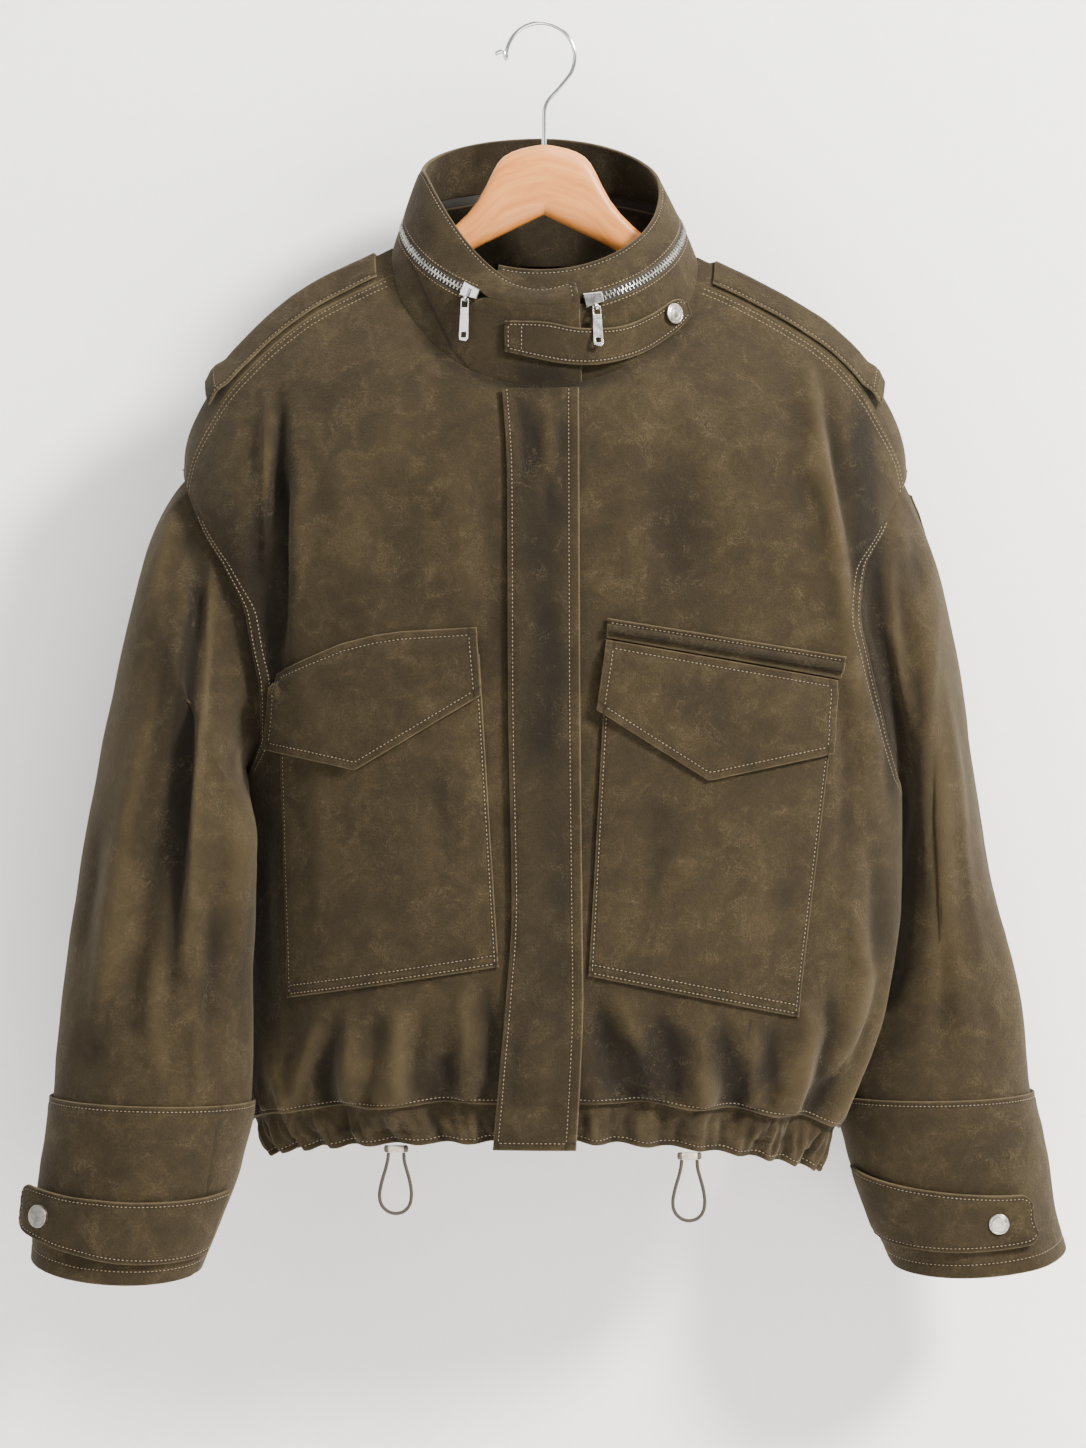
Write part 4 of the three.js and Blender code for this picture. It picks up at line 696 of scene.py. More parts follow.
def makeSuede(name, shade=1.0):
    material, tree, shader = newMaterial(name)
    nap = node(tree, "ShaderNodeGroup", node_tree=napGroup)
    tint = lambda key: tuple(v * shade for v in suedeLook[key])
    tone = rampNode(tree, nap.outputs["Tone"],
                    [(0.30, tint("dark")), (0.5, tint("base")), (0.70, tint("light"))])
    attribute = {key: node(tree, "ShaderNodeAttribute", attribute_name=key).outputs["Fac"]
                 for key in ("edge", "seam", "fold")}
    # Painted highlight and painted shade: lighter on the ridges of the folds, darker in their troughs and in
    # the painted shade areas.
    ridge = rangeNode(tree, attribute["fold"], 0.6, 6.0, 0.0, 0.5)
    colour = mixColours(tree, ridge, tone, tint("light"))
    trough = rangeNode(tree, attribute["fold"], -0.5, -5.5, 0.0, 0.93)
    colour = mixColours(tree, trough, colour, tint("dark"))
    scuffs = mathNode(tree, "MULTIPLY", nap.outputs["Scuff"], 0.30)
    colour = mixColours(tree, scuffs, colour, tint("worn"))
    rim = rangeNode(tree, attribute["edge"], 0.2, 1.3, 0.6, 0.0)
    rim = mathNode(tree, "MULTIPLY", rim, rangeNode(tree, nap.outputs["Tone"], 0.38, 0.6, 0.35, 1.0))
    colour = mixColours(tree, rim, colour, tint("worn"))
    sewn = rangeNode(tree, attribute["seam"], 0.2, 1.6, suedeLook["stitchShade"], 0.0)
    colour = mixColours(tree, sewn, colour, tint("dark"))
    link(tree, colour, shader.inputs["Base Color"])
    shader.inputs["Roughness"].default_value = 0.92
    shader.inputs["Specular IOR Level"].default_value = 0.18
    shader.inputs["Sheen Weight"].default_value = 0.1
    shader.inputs["Sheen Roughness"].default_value = 0.45
    shader.inputs["Sheen Tint"].default_value = (0.80, 0.66, 0.44, 1)
    bump = node(tree, "ShaderNodeBump")
    bump.inputs["Strength"].default_value = suedeLook["bump"]
    bump.inputs["Distance"].default_value = 0.0009
    link(tree, nap.outputs["Height"], bump.inputs["Height"])
    link(tree, bump.outputs["Normal"], shader.inputs["Normal"])
    return material


# suedeDark is a shaded copy of the suede: painted shade, every colour at 0.8.
materials = {"suede": makeSuede("suede"), "suedeDark": makeSuede("suedeDark", 0.8)}


def makePlain(name, colour, rough, metal=0.0, noiseScale=300, vary=0.15, bump=0.15, distance=0.0002,
              other=None):
    material, tree, shader = newMaterial(name)
    place = node(tree, "ShaderNodeTexCoord").outputs["Object"]
    noise = node(tree, "ShaderNodeTexNoise")
    link(tree, place, noise.inputs["Vector"])
    noise.inputs["Scale"].default_value = noiseScale
    noise.inputs["Detail"].default_value = 4
    darker = tuple(v * (1 - vary) for v in colour)
    lighter = other or tuple(min(v * (1 + vary), 1) for v in colour)
    link(tree, rampNode(tree, noise.outputs["Fac"], [(0.35, darker), (0.65, lighter)]),
         shader.inputs["Base Color"])
    shader.inputs["Metallic"].default_value = metal
    link(tree, rangeNode(tree, noise.outputs["Fac"], 0.3, 0.7, rough * 0.8, min(rough * 1.25, 1)),
         shader.inputs["Roughness"])
    made = node(tree, "ShaderNodeBump")
    made.inputs["Strength"].default_value = bump
    made.inputs["Distance"].default_value = distance
    link(tree, noise.outputs["Fac"], made.inputs["Height"])
    link(tree, made.outputs["Normal"], shader.inputs["Normal"])
    return material


materials["thread"] = makePlain("thread", (0.20, 0.152, 0.088), 0.8, noiseScale=900, vary=0.35, bump=0.4)
materials["metal"] = makePlain("metal", (0.50, 0.48, 0.44), 0.2, 1.0, noiseScale=260, vary=0.12, bump=0.12)
materials["snapMetal"] = makePlain("snapMetal", (0.34, 0.315, 0.275), 0.36, 1.0, noiseScale=420, vary=0.22,
                                   bump=0.3)
materials["teeth"] = makePlain("teeth", (0.42, 0.40, 0.36), 0.28, 1.0, noiseScale=700, vary=0.3, bump=0.2)
materials["tape"] = makePlain("tape", (0.012, 0.009, 0.005), 0.9, noiseScale=1500, vary=0.4, bump=0.5)
materials["cord"] = makePlain("cord", (0.030, 0.022, 0.014), 0.75, noiseScale=1600, vary=0.5, bump=0.6)
materials["stop"] = makePlain("stop", (0.42, 0.37, 0.29), 0.42, noiseScale=240, vary=0.25, bump=0.1)
materials["stopEnd"] = makePlain("stopEnd", (0.045, 0.032, 0.02), 0.45, noiseScale=400, vary=0.3)


# Gives a piece its material, the body it rides on and the nodes it replaces.
def dress(piece, material, slotName, *replaced, bodyName="jacket"):
    piece.data.materials.clear()
    piece.data.materials.append(materials[material])
    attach(piece, bodyName)
    if replaced:
        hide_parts(*replaced)
    return piece


# The drawcord's two loops.
loopCord = {
    "radius": 1.2, "rightX": -98.5, "leftX": 101.5, "under": 0.3,
    # across and down from the stop
    "route": [(-5.2, 0), (-5.8, -5), (-7.2, -11), (-9, -17), (-10.6, -23.5), (-11.3, -29), (-10.4, -34.4),
              (-7.4, -38.6),
              (-3, -41), (1.8, -41.2), (6.2, -39.3), (9.2, -35.4), (10.4, -30), (10.1, -24), (8.8, -17.5),
              (7, -11),
              (5.6, -5.5), (5.2, 0)],
}


def makeLoop(side):
    low, high = (np.array(corner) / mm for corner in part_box("cord_stop_" + side))
    y = (low[1] + high[1]) / 2
    top = low[2] - loopCord["under"]
    points = [(loopCord[side + "X"] + across, y, top + down) for across, down in loopCord["route"]]
    data = bpy.data.curves.new("drawcord_" + side, "CURVE")
    data.dimensions = "3D"
    data.bevel_depth = loopCord["radius"] * mm
    data.bevel_resolution = 4
    data.resolution_u = 6
    spline = data.splines.new("BEZIER")
    spline.bezier_points.add(len(points) - 1)
    for made, point in zip(spline.bezier_points, points):
        made.co = [v * mm for v in point]
        made.handle_left_type = made.handle_right_type = "AUTO"
    piece = bpy.data.objects.new("drawcord_" + side, data)
    bpy.context.scene.collection.objects.link(piece)
    length = sum(math.dist(a, b) for a, b in zip(points[:-1], points[1:])) * 1.008 * mm
    dress(piece, "cord", "cord", "cord_loop_" + side)
    [v * mm for v in points[0]]


for side in ("right", "left"):
    makeLoop(side)
print("cords made")


# The body: fronts, back and the hem's channel.
def levelsOf(first, steps):
    levels = [np.array([first])]
    for end, count in steps:
        start = levels[-1][-1]
        levels.append(start + (end - start) * np.arange(1, count + 1) / count)
    return np.concatenate(levels)


fine = 1
bodyLevels = levelsOf(-0.06, [(-0.05, 1), (-0.02, 2), (0.12, 5), (4.0, 48 // fine), (4.04, 3), (4.12, 4),
                              (4.4, 6), (4.8, 7), (5.2, 7), (5.6, 7),
                          (5.85, 7), (6.0, 6), (9.82, 66 // fine), (9.9, 3), (9.96, 3), (9.985, 2), (10, 2)])
front = {"gap": 0.2, "width": 270, "step": 3.6 * fine}
sideSeam = [(142.5, -690), (140, -720), (139, -752)]
nearEdge = (0, 0.35, 0.8, 1.5, 2.4, 3.4, 4.6, 6.2, 8.2, 10.6)


def seamShare(level):
    reach = np.linalg.norm(bareBody(90, level) - bareBody(88, level), axis=-1) / 2
    return 0.2 / reach


for side, sign, column, stitched in (("right", -1, "rightFront", "left"), ("left", 1, "leftFront", "right")):
    level = bodyLevels[:, None]
    share = spacing(front["width"], front["step"], (0, 1.5, 3.5), nearEdge)[None, :]
    far = edgeAngle(level, column) - seamShare(level)
    angle = sign * mix(front["gap"], far, share if sign > 0 else share[:, ::-1])
    angle, level = np.broadcast_arrays(angle, level)
    points = onBody(angle, level)
    bare = bareBody(angle, level)
    folds = np.einsum("...k,...k->...", points - bare, normalOf(bareBody, angle, level))
    seam = 60 + 0 * level if sign < 0 else lineDistance(sideSeam, points[..., 0], points[..., 2])
    piece = clothPiece("front_panel_" + side, points, suede, seams=[("bottom", 3.2)],
                       free="bottom " + stitched,
                       folds=folds, groove=seam)
    dress(piece, "suede", "suede", "front_" + side)

backPanel = {"width": 560, "step": 4.6 * fine}
level = bodyLevels[:, None]
near = np.where(level >= 6, 90, edgeAngle(level, "back")) + seamShare(level)
share = spacing(backPanel["width"], backPanel["step"], nearEdge)[None, :]
angle, level = np.broadcast_arrays(mix(near, 360 - near, share), level)
points = onBody(angle, level)
folds = np.einsum("...k,...k->...", points - bareBody(angle, level), normalOf(bareBody, angle, level))
piece = clothPiece("back_panel", points, suede, seams=[("bottom", 3.2)], free="bottom left right",
                   folds=folds)
dress(piece, "suede", "suede", "back")

# The hem's channel is gathered by its cord: it puffs between its two stitched rows.
channel = {"levels": [(9.84, 0, -2.8), (9.96, 0.1, -3.2), (10.08, 0.2, -3.8), (10.98, 1, -1.5)],
           "step": 1.7 * fine}


def channelPiece(side, start, end, length):
    level = levelsOf(9.84, [(9.96, 2), (10.08, 2), (10.92, 12), (10.98, 5)])[:, None]
    count = int(length / channel["step"])
    angle = np.linspace(start, end, count)[None, :]
    angle, level = np.broadcast_arrays(angle, level)
    knots = np.array(channel["levels"])
    share = np.interp(level, knots[:, 0], knots[:, 1])
    lift = np.interp(level, knots[:, 0], knots[:, 2])
    point, normal = bodyForm(angle, level), normalOf(bodyForm, angle, level)
    between = np.sin(math.pi * np.clip((level - 10.08) / 0.9, 0, 1))
    phase = gatherPhase(angle)
    ruck = (0.9 * np.sin(2 * math.pi * (phase * 2.1 + 0.2 + 0.5 * between))
            + 0.7 * np.sin(2 * math.pi * (phase * 3.3 + 0.6 - 0.4 * level))
            + 0.9 * uneven(point, 9, 5)) * fromSeam(angle)
    rucked = ruck * (0.25 + 0.75 * between) * smooth(10.0, 10.3, level)
    height = lift + share * gather(angle) * (0.8 + 0.45 * between) + rucked
    height += 1.1 * between * fromSeam(angle)
    points = point + normal * height[..., None]
    points[..., 2] += smooth(10.1, 10.9,
                             level) * 0.7 * np.sin(2 * math.pi * (phase * 1.0 + 0.35)) * fromSeam(angle)
    folds = (share * gather(angle) + ruck) * 1.2
    piece = clothPiece("hem_" + side, points, suede, seams=[("bottom", 4.2)], free="bottom", folds=folds)
    dress(piece, "suede", "suede", "hem_channel_" + side)


channelPiece("right", -89.66, -0.2, 330)
channelPiece("left", 0.2, 89.66, 330)
channelPiece("back", 90.34, 269.66, 600)
print("body made")


# What lies on the fronts.
def onFront(x, z):
    angle = np.degrees(np.arcsin(np.clip(x / 225, -0.98, 0.98)))
    level = mix(0, 10, (-z - 260) / 490)
    for step in range(24):
        here = bareBody(angle, level)
        dx, dz = x - here[..., 0], z - here[..., 2]
        if max(np.abs(dx).max(), np.abs(dz).max()) < 1e-3:
            break
        byAngle = (bareBody(angle + 0.1, level) - here) * 10
        byLevel = (bareBody(angle, level + 0.01) - here) * 100
        area = byAngle[..., 0] * byLevel[..., 2] - byLevel[..., 0] * byAngle[..., 2]
        angle = angle + np.clip((dx * byLevel[..., 2] - byLevel[..., 0] * dz) / area, -12, 12)
        level = level + np.clip((byAngle[..., 0] * dz - dx * byAngle[..., 2]) / area, -1, 1)
    return angle, level


# A patch between four corners, each (x, z): upper left, upper right, lower right, lower left.
def patchOnFront(name, node, corners, lift, thickness, top=None, bottom=None, sewnLift=None, bulge=0,
                 creases=(),
                 seams=(), step=3.2, follow=0.75, curl=0.0, material="suede"):
    (ulX, ulZ), (urX, urZ), (lrX, lrZ), (llX, llZ) = corners
    wide = max(abs(urX - ulX), abs(lrX - llX))
    high = max(abs(ulZ - llZ), abs(urZ - lrZ))
    across = spacing(wide, step * fine, nearEdge)[None, :]
    down = spacing(high, step * fine, nearEdge)[:, None]
    upperX, upperZ = mix(ulX, urX, across), mix(ulZ, urZ, across)
    lowerX, lowerZ = mix(llX, lrX, across), mix(llZ, lrZ, across)
    if top:
        upperZ = np.interp(upperX, *np.array(top).T)
    if bottom:
        lowerX = mix(bottom[0][0], bottom[-1][0], across)
        lowerZ = np.interp(lowerX, *np.array(bottom).T)
    x, z = mix(upperX, lowerX, down), mix(upperZ, lowerZ, down)
    angle, level = onFront(x, z)
    across, down = np.broadcast_arrays(across, down)
    swell = np.maximum(np.sin(math.pi * across) * np.sin(math.pi * down), 0) ** 0.6
    height = lift + bulge * swell
    if sewnLift is not None:
        height = mix(sewnLift, height, smooth(0, 0.22, down))
    own = creaseHeight(creases, x, z) if creases else 0 * x
    own = own + 0.5 * uneven(xyz(x, 0, z), 38, 8) + 0.22 * uneven(xyz(x, 0, z), 15, 9)
    own = own * np.minimum(1, 4 * np.minimum(np.minimum(across, 1 - across), np.minimum(down, 1 - down))
                           + 0.25)
    height = height + own + curl * smooth(0.75, 1, down) * (1 - np.abs(2 * across - 1)) ** 0.5
    points = onBody(angle, level, height + thickness, follow)
    piece = clothPiece(name, points, thickness, seams=seams, folds=own * 2.2)
    dress(piece, material, "suede", node)
    return piece


pocketSeams = [("left", 2.6), ("right", 2.6), ("bottom", 2.6), ("bottom", 8.2)]
patchOnFront("pocket_bag_right", "pocket_right", [(-178, -474), (-41, -442), (-28, -653.5), (-172, -677)],
             1.0, suede,
             bulge=2, seams=pocketSeams, creases=[
                 ([(-150, -520), (-146, -580), (-150, -640)], 12, 1.0),
                 ([(-60, -500), (-50, -560), (-46, -630)], 10, 1.0),
                 ([(-75, -490), (-66, -540), (-62, -600)], 6, -0.9),
                 ([(-120, -530), (-100, -600), (-96, -650)], 14, -0.9),
                 ([(-165, -560), (-158, -620), (-150, -660)], 6, -0.8)])
patchOnFront("pocket_bag_left", "pocket_left", [(44, -446), (200, -474), (174.7, -688.6), (32.2, -659.6)],
             1.0, suede,
             bulge=2, seams=pocketSeams, creases=[
                 ([(60, -500), (56, -570), (50, -640)], 10, 1.0),
                 ([(80, -520), (78, -590), (70, -650)], 9, -0.9),
                 ([(150, -530), (146, -600), (142, -670)], 13, 1.0),
                 ([(176, -520), (170, -600), (164, -670)], 8, -0.9),
                 ([(110, -545), (104, -610), (100, -668)], 12, 0.8)])
flapSeams = [("left", 5.6), ("right", 5.6), ("top", 5.6), ("bottom", 5.6)]
patchOnFront("pocket_flap_right", "flap_right",
             [(-183, -455.5), (-42.8, -423.8), (-39.4, -469.7), (-186, -505.5)], 6,
             suede, sewnLift=1.0, seams=flapSeams, curl=0.6,
             top=[(-183, -455.5), (-160, -445), (-135, -434.6), (-112, -429), (-94.8, -426.5),
                  (-42.8, -423.8)],
             bottom=[(-186, -505.5), (-123.8, -520.4), (-39.4, -469.7)],
             creases=[([(-160, -452), (-152, -480), (-146, -506)], 9, 0.9),
                      ([(-100, -436), (-96, -462), (-100, -492)], 12, -0.8),
                      ([(-66, -430), (-62, -450), (-60, -475)], 7, 0.7)])
patchOnFront("pocket_flap_left", "flap_left",
             [(44.3, -432), (202.3, -459.4), (196.9, -509.6), (37.5, -479.8)], 6,
             suede, sewnLift=1.0, seams=flapSeams, curl=0.6,
             bottom=[(37.5, -479.8), (113.2, -527.8), (196.9, -509.6)],
             creases=[([(70, -440), (74, -470), (86, -500)], 9, 0.8),
                      ([(120, -452), (122, -480), (118, -515)], 12, -0.8),
                      ([(165, -460), (166, -482), (160, -508)], 10, 0.8)])
patchOnFront("pocket_band", "pocket_band_left", [(45, -417.7), (207, -443.4), (204, -458.6), (44.6, -431)],
             1.0, double,
             seams=[("top", 3.0)], step=3.4)

# The placket runs from the neck to the hem.
placket = tableOf("z sewn free", [
    (-262, -26, 26), (-324, -22.6, 26.2), (-473, -21.9, 26.8), (-608, -19.4, 28.1), (-676, -23.3, 28.8),
    (-730, -28, 26.8), (-776, -32, 24),
])
placketCreases = [
    ([(-16, -268), (-6, -296), (-12, -330)], 4.5, -1.8), ([(4, -266), (6, -300), (-2, -345)], 4.5, 1.7),
    ([(-10, -290), (2, -320), (12, -360)], 5, -1.3), ([(18, -270), (14, -310), (17, -360)], 4, -1.0),
    ([(-14, -380), (-10, -420), (-14, -470)], 7, 0.9), ([(8, -400), (10, -460), (6, -520)], 8, -0.8),
    ([(-8, -520), (-4, -590), (-8, -650)], 8, 0.9), ([(14, -560), (16, -640), (12, -700)], 6, -0.8),
    ([(-16, -680), (-18, -720), (-20, -752)], 5, -1.2), ([(2, -690), (0, -730), (-2, -764)], 6, 1.1),
]
row = spacing(520, 3.6 * fine, nearEdge)[:, None] * 6
z = readColumn(placket["z"], row)
share = spacing(49, 2.6 * fine, (0, 0.4, 1, 2, 3.2, 4.6, 6.4, 8))[None, :]
x = mix(readColumn(placket["sewn"], row), readColumn(placket["free"], row), share)
z, x = np.broadcast_arrays(z, x)
share = np.broadcast_to(share, z.shape)
angle, level = onFront(x, np.maximum(z, -770))
own = creaseHeight(placketCreases, x, z) + 0.5 * uneven(xyz(x, 0, z), 26, 4)
own = own * np.minimum(1, 5 * np.minimum(share, 1 - share) + 0.2)
stand = 1.6 + 3.4 * smooth(-744, -760, z) + 1.2 * share + double + np.maximum(own, -1.2)
points = bareBody(angle, level) + normalOf(bareBody, angle, level) * stand[..., None]
points[..., 2] += np.minimum(z + 770, 0)
piece = clothPiece("placket_strip", points, double, folds=own * 2.2,
                   seams=[("left", 3.4), ("right", 7.2), ("bottom", 5.0)], free="bottom left right")
dress(piece, "suede", "suede", "placket")
print("pockets and placket made")
# The shoulder patches lie over the ridge from the neck to the tip, and their ends stand clear like a loop.
patch = {"lift": 1.2, "endLift": 2.2, "endThickness": 2.8, "width": 82, "length": 96}
backStep = (360 - 2 * (79 + float(seamShare(1)))) / 22
for side, sign in (("right", -1), ("left", 1)):
    level = levelsOf(0.12, [(0.14, 2), (0.2, 3), (2.5, 30 // fine), (2.9, 10), (2.97, 4), (3.0, 3)])[:, None]
    share = spacing(patch["width"], 2.6 * fine, nearEdge)[None, :]
    angle = sign * mix(80.5, 79.2 + 3 * backStep, share)
    if sign < 0:
        angle = angle[:, ::-1]
    angle, level = np.broadcast_arrays(angle, level)
    end = smooth(2.5, 2.85, level)
    base = onBody(angle, level, 0, 0.5)
    own = 0.6 * uneven(base, 26, 6) + 0.3 * uneven(base, 11, 7)
    own = own + 1.1 * np.exp(-(((level - 2.72) / 0.12) ** 2))
    lift = patch["lift"] + patch["endLift"] * end + mix(suede, patch["endThickness"], end) + np.maximum(own,
                                                                                                        -0.7)
    points = onBody(angle, level, lift, 0.5)
    frontEdge = "left" if sign > 0 else "right"
    piece = clothPiece("shoulder_patch_" + side + "_cloth", points, suede, folds=own * 2,
                       seams=[(frontEdge, 2.4), ("bottom", 12.0)])
    dress(piece, "suede", "suede", "shoulder_patch_" + side)
print("patches made")


# A sleeve: angle 0 is its outer line and 90 its front, and its rows run from the armhole to the cuff.
sleeveNames = "outerX outerZ outerY innerX innerZ innerY halfDepth frontDrop"
sleeveTables = {
    "right": tableOf(sleeveNames, [
        (-282, -395, -12, -199, -560, -50, 52, 0), (-293, -450, -16, -196, -588, -54, 50, 0),
        (-308, -525, -22, -196, -622, -56, 49, 0), (-320, -600, -30, -198, -660, -52, 49, 0),
        (-330, -674, -37, -198, -706, -47, 51, 0), (-336, -745, -42, -199, -748, -44, 53, 2),
        (-344, -790, -45, -206, -792, -44, 52, 5), (-349, -825, -46, -219, -829, -45, 49, 8),
        (-351, -856, -47, -233, -863, -46, 46, 11)]),
    "left": tableOf(sleeveNames, [
        (280, -394, 10, 254, -572, 8, 60, 0), (293, -456, 16, 252, -600, 15.5, 56, 0),
        (307, -532, 22, 248, -636, 23.5, 52, 0), (321, -612, 27, 239, -676, 29.5, 51, 0),
        (338, -690, 29, 221, -718, 30, 52, 0), (346, -748, 29, 210, -750, 29, 54, 2),
        (358, -792, 27, 216, -789, 27, 54, 5), (363, -829, 25, 229, -828, 25, 50, 8),
        (371, -858, 24, 246, -867, 24, 46, 12)]),
}
sleeveFolds = {
    "right": [(66, 58, -0.2, 4.4, 5, 9), (88, 76, -0.2, 4.2, -6, 9), (112, 104, 0.1, 3.4, 5, 10),
              (246, 236, 0.1, 4.2, -5, 12), (282, 276, 0.1, 4.0, 5, 12), (70, 64, 4.4, 7.9, -3, 14)],
    "left": [(64, 60, 0.1, 3.8, 4, 12), (96, 92, 0.1, 4.4, -5, 11), (246, 240, 0.1, 4.2, -5, 12),
             (284, 280, 0.1, 4.0, 5, 12), (60, 50, 5.4, 8.4, 3, 16)],
}
# Creases by x and z, in front and behind, and the lengthwise seam of each lower band.
sleeveCreases = {
    "right": ([
        ([(-222, -322), (-225, -366), (-228, -413), (-230.5, -461), (-232, -508), (-235, -555), (-239, -606)],
         3.0, 3.0),
        ([(-229, -330), (-234, -374), (-237, -421), (-240, -468), (-243, -516), (-245, -563), (-249, -618),
          (-253, -690)],
         7, -3.6),
        ([(-208, -528), (-206, -591), (-208, -650)], 7, 1.7),
        ([(-221, -590), (-222, -650), (-228, -705)], 7, -1.7),
        ([(-268, -380), (-277, -453), (-285, -531), (-294, -610), (-305, -689)], 14, 1.7),
        ([(-253, -374), (-259, -445), (-266, -512), (-279, -579)], 8, -1.6),
        ([(-236, -312), (-240, -346), (-243, -376)], 6, -2.6),
        ([(-250, -322), (-259, -358), (-268, -402)], 7, 1.8),
        ([(-198, -358), (-193, -390), (-190, -425)], 5, 1.6),
        ([(-186, -505), (-196, -545), (-203, -590)], 6, 1.8),
        ([(-262, -640), (-262, -690), (-256, -735)], 9, 1.5),
        ([(-287, -660), (-300, -700), (-312, -738)], 8, -1.5),
        ([(-300, -560), (-306, -600), (-314, -650)], 6, -1.2),
        ([(-232, -690), (-234, -715), (-232, -740)], 5, 1.4)],
        [([(-240, -330), (-232, -440), (-226, -560)], 9, 3.0),
         ([(-254, -340), (-250, -450), (-244, -590)], 8, -3.0),
         ([(-280, -420), (-286, -520), (-300, -640)], 12, 2.0),
         ([(-268, -560), (-276, -640), (-284, -720)], 9, -2.0),
         ([(-225, -560), (-232, -620), (-252, -660)], 8, -2.2),
         ([(-222, -600), (-236, -660), (-262, -700)], 8, 2.2)],
        [(-215.5, -741), (-222.2, -779.7), (-229.3, -819.1), (-237, -870)]),
    "left": ([
        ([(228, -335), (223, -385), (226, -425), (235, -465), (247, -508)], 8, -4.6),
        ([(240, -335), (239, -385), (243, -428), (251, -468), (259, -510)], 5, 2.2),
        ([(261, -405), (267, -502), (283, -611), (298, -699)], 13, 1.7),
        ([(246, -388), (257, -476), (262, -554), (264, -633)], 8, -1.9),
        ([(274, -510), (279, -589), (275, -677), (264, -734)], 8, 1.6),
        ([(289, -554), (300, -633), (311, -712)], 9, -1.5),
        ([(237, -699), (246, -655), (253, -589)], 7, -1.8),
        ([(256, -335), (263, -388), (268, -420)], 8, -1.2),
        ([(276, -350), (290, -430), (302, -500)], 9, 1.2),
        ([(305, -470), (316, -560), (328, -640)], 9, -1.1),
        ([(322, -600), (333, -670), (340, -730)], 7, 1.3),
        ([(225, -718), (238, -700), (252, -690)], 5, 1.2)],
        [([(262, -330), (268, -440), (272, -560)], 9, 3.0),
         ([(276, -340), (284, -450), (290, -590)], 8, -3.0),
         ([(250, -450), (258, -540), (262, -620)], 10, 2.0),
         ([(300, -560), (306, -640), (312, -720)], 9, -2.0),
         ([(250, -600), (268, -640), (296, -660)], 8, 2.2),
         ([(246, -640), (268, -676), (300, -696)], 8, -2.2)],
        [(203, -745), (217, -801.4), (228, -830), (250, -876)]),
}


def sleeveForms(side):
    table, sign = sleeveTables[side], -1 if side == "right" else 1

    def bare(angle, row):
        row = np.clip(row, -0.3, 8)
        read = lambda name: readColumn(table[name], row)
        outward, forward = (1 + np.cos(np.radians(angle))) / 2, np.sin(np.radians(angle))
        return xyz(mix(read("innerX"), read("outerX"), outward),
                   mix(read("innerY"), read("outerY"), outward) - read("halfDepth") * forward,
                   mix(read("innerZ"), read("outerZ"), outward) - read("frontDrop") * forward)

    def form(angle, row):
        height = foldHeight(sleeveFolds[side], angle, row)
        return bare(angle, row) - sign * normalOf(bare, angle, row, 1, 0.02) * height[..., None]

    return bare, form, lambda angle, row: -sign * normalOf(form, angle, row, 1, 0.02)


# The armhole's edge as the panels leave it, evenly from the shoulder seam round the front and back up.
def armholeRing(side, count):
    sign = -1 if side == "right" else 1
    down = 4 + 2 * np.linspace(0, 1, 120)
    level = np.concatenate([down, down[-2::-1]])
    angle = sign * np.concatenate([edgeAngle(down, side + "Front"), edgeAngle(down[-2::-1], "back")])
    points = onBody(angle, level)
    length = cumulative(points, 0)
    at = length[-1] * np.arange(count) / count
    underarm = length[119]
    turn = 14 + np.where(at < underarm, at / underarm * 166,
                         mix(166, 360, (at - underarm) / (length[-1] - underarm)))
    pick = lambda values: np.interp(at, length, values)
    ring = xyz(*(pick(points[:, k]) for k in range(3)))
    normal = normalOf(bodyForm, pick(angle), pick(level))
    closed = np.concatenate([ring[-2:], ring, ring[:2]])
    tangent = unit(closed[3:-1] + closed[4:] - closed[1:-3] - closed[:-4])
    away = unit(np.cross(tangent, normal)) * -sign
    return turn, ring, normal, away


def sleeveHeight(side, points, angle):
    ahead, behind, seam = sleeveCreases[side]
    x, z = points[..., 0], points[..., 2]
    forward = np.sin(np.radians(angle))
    return (creaseHeight(ahead, x, z, 2.2) * smooth(-0.1, 0.25, forward)
            + creaseHeight(behind, x, z, 1.2) * smooth(-0.1, 0.25, -forward)
            + 1.0 * uneven(points, 62, 11) + 0.5 * uneven(points, 27, 12) + 0.14 * uneven(points, 12, 13))


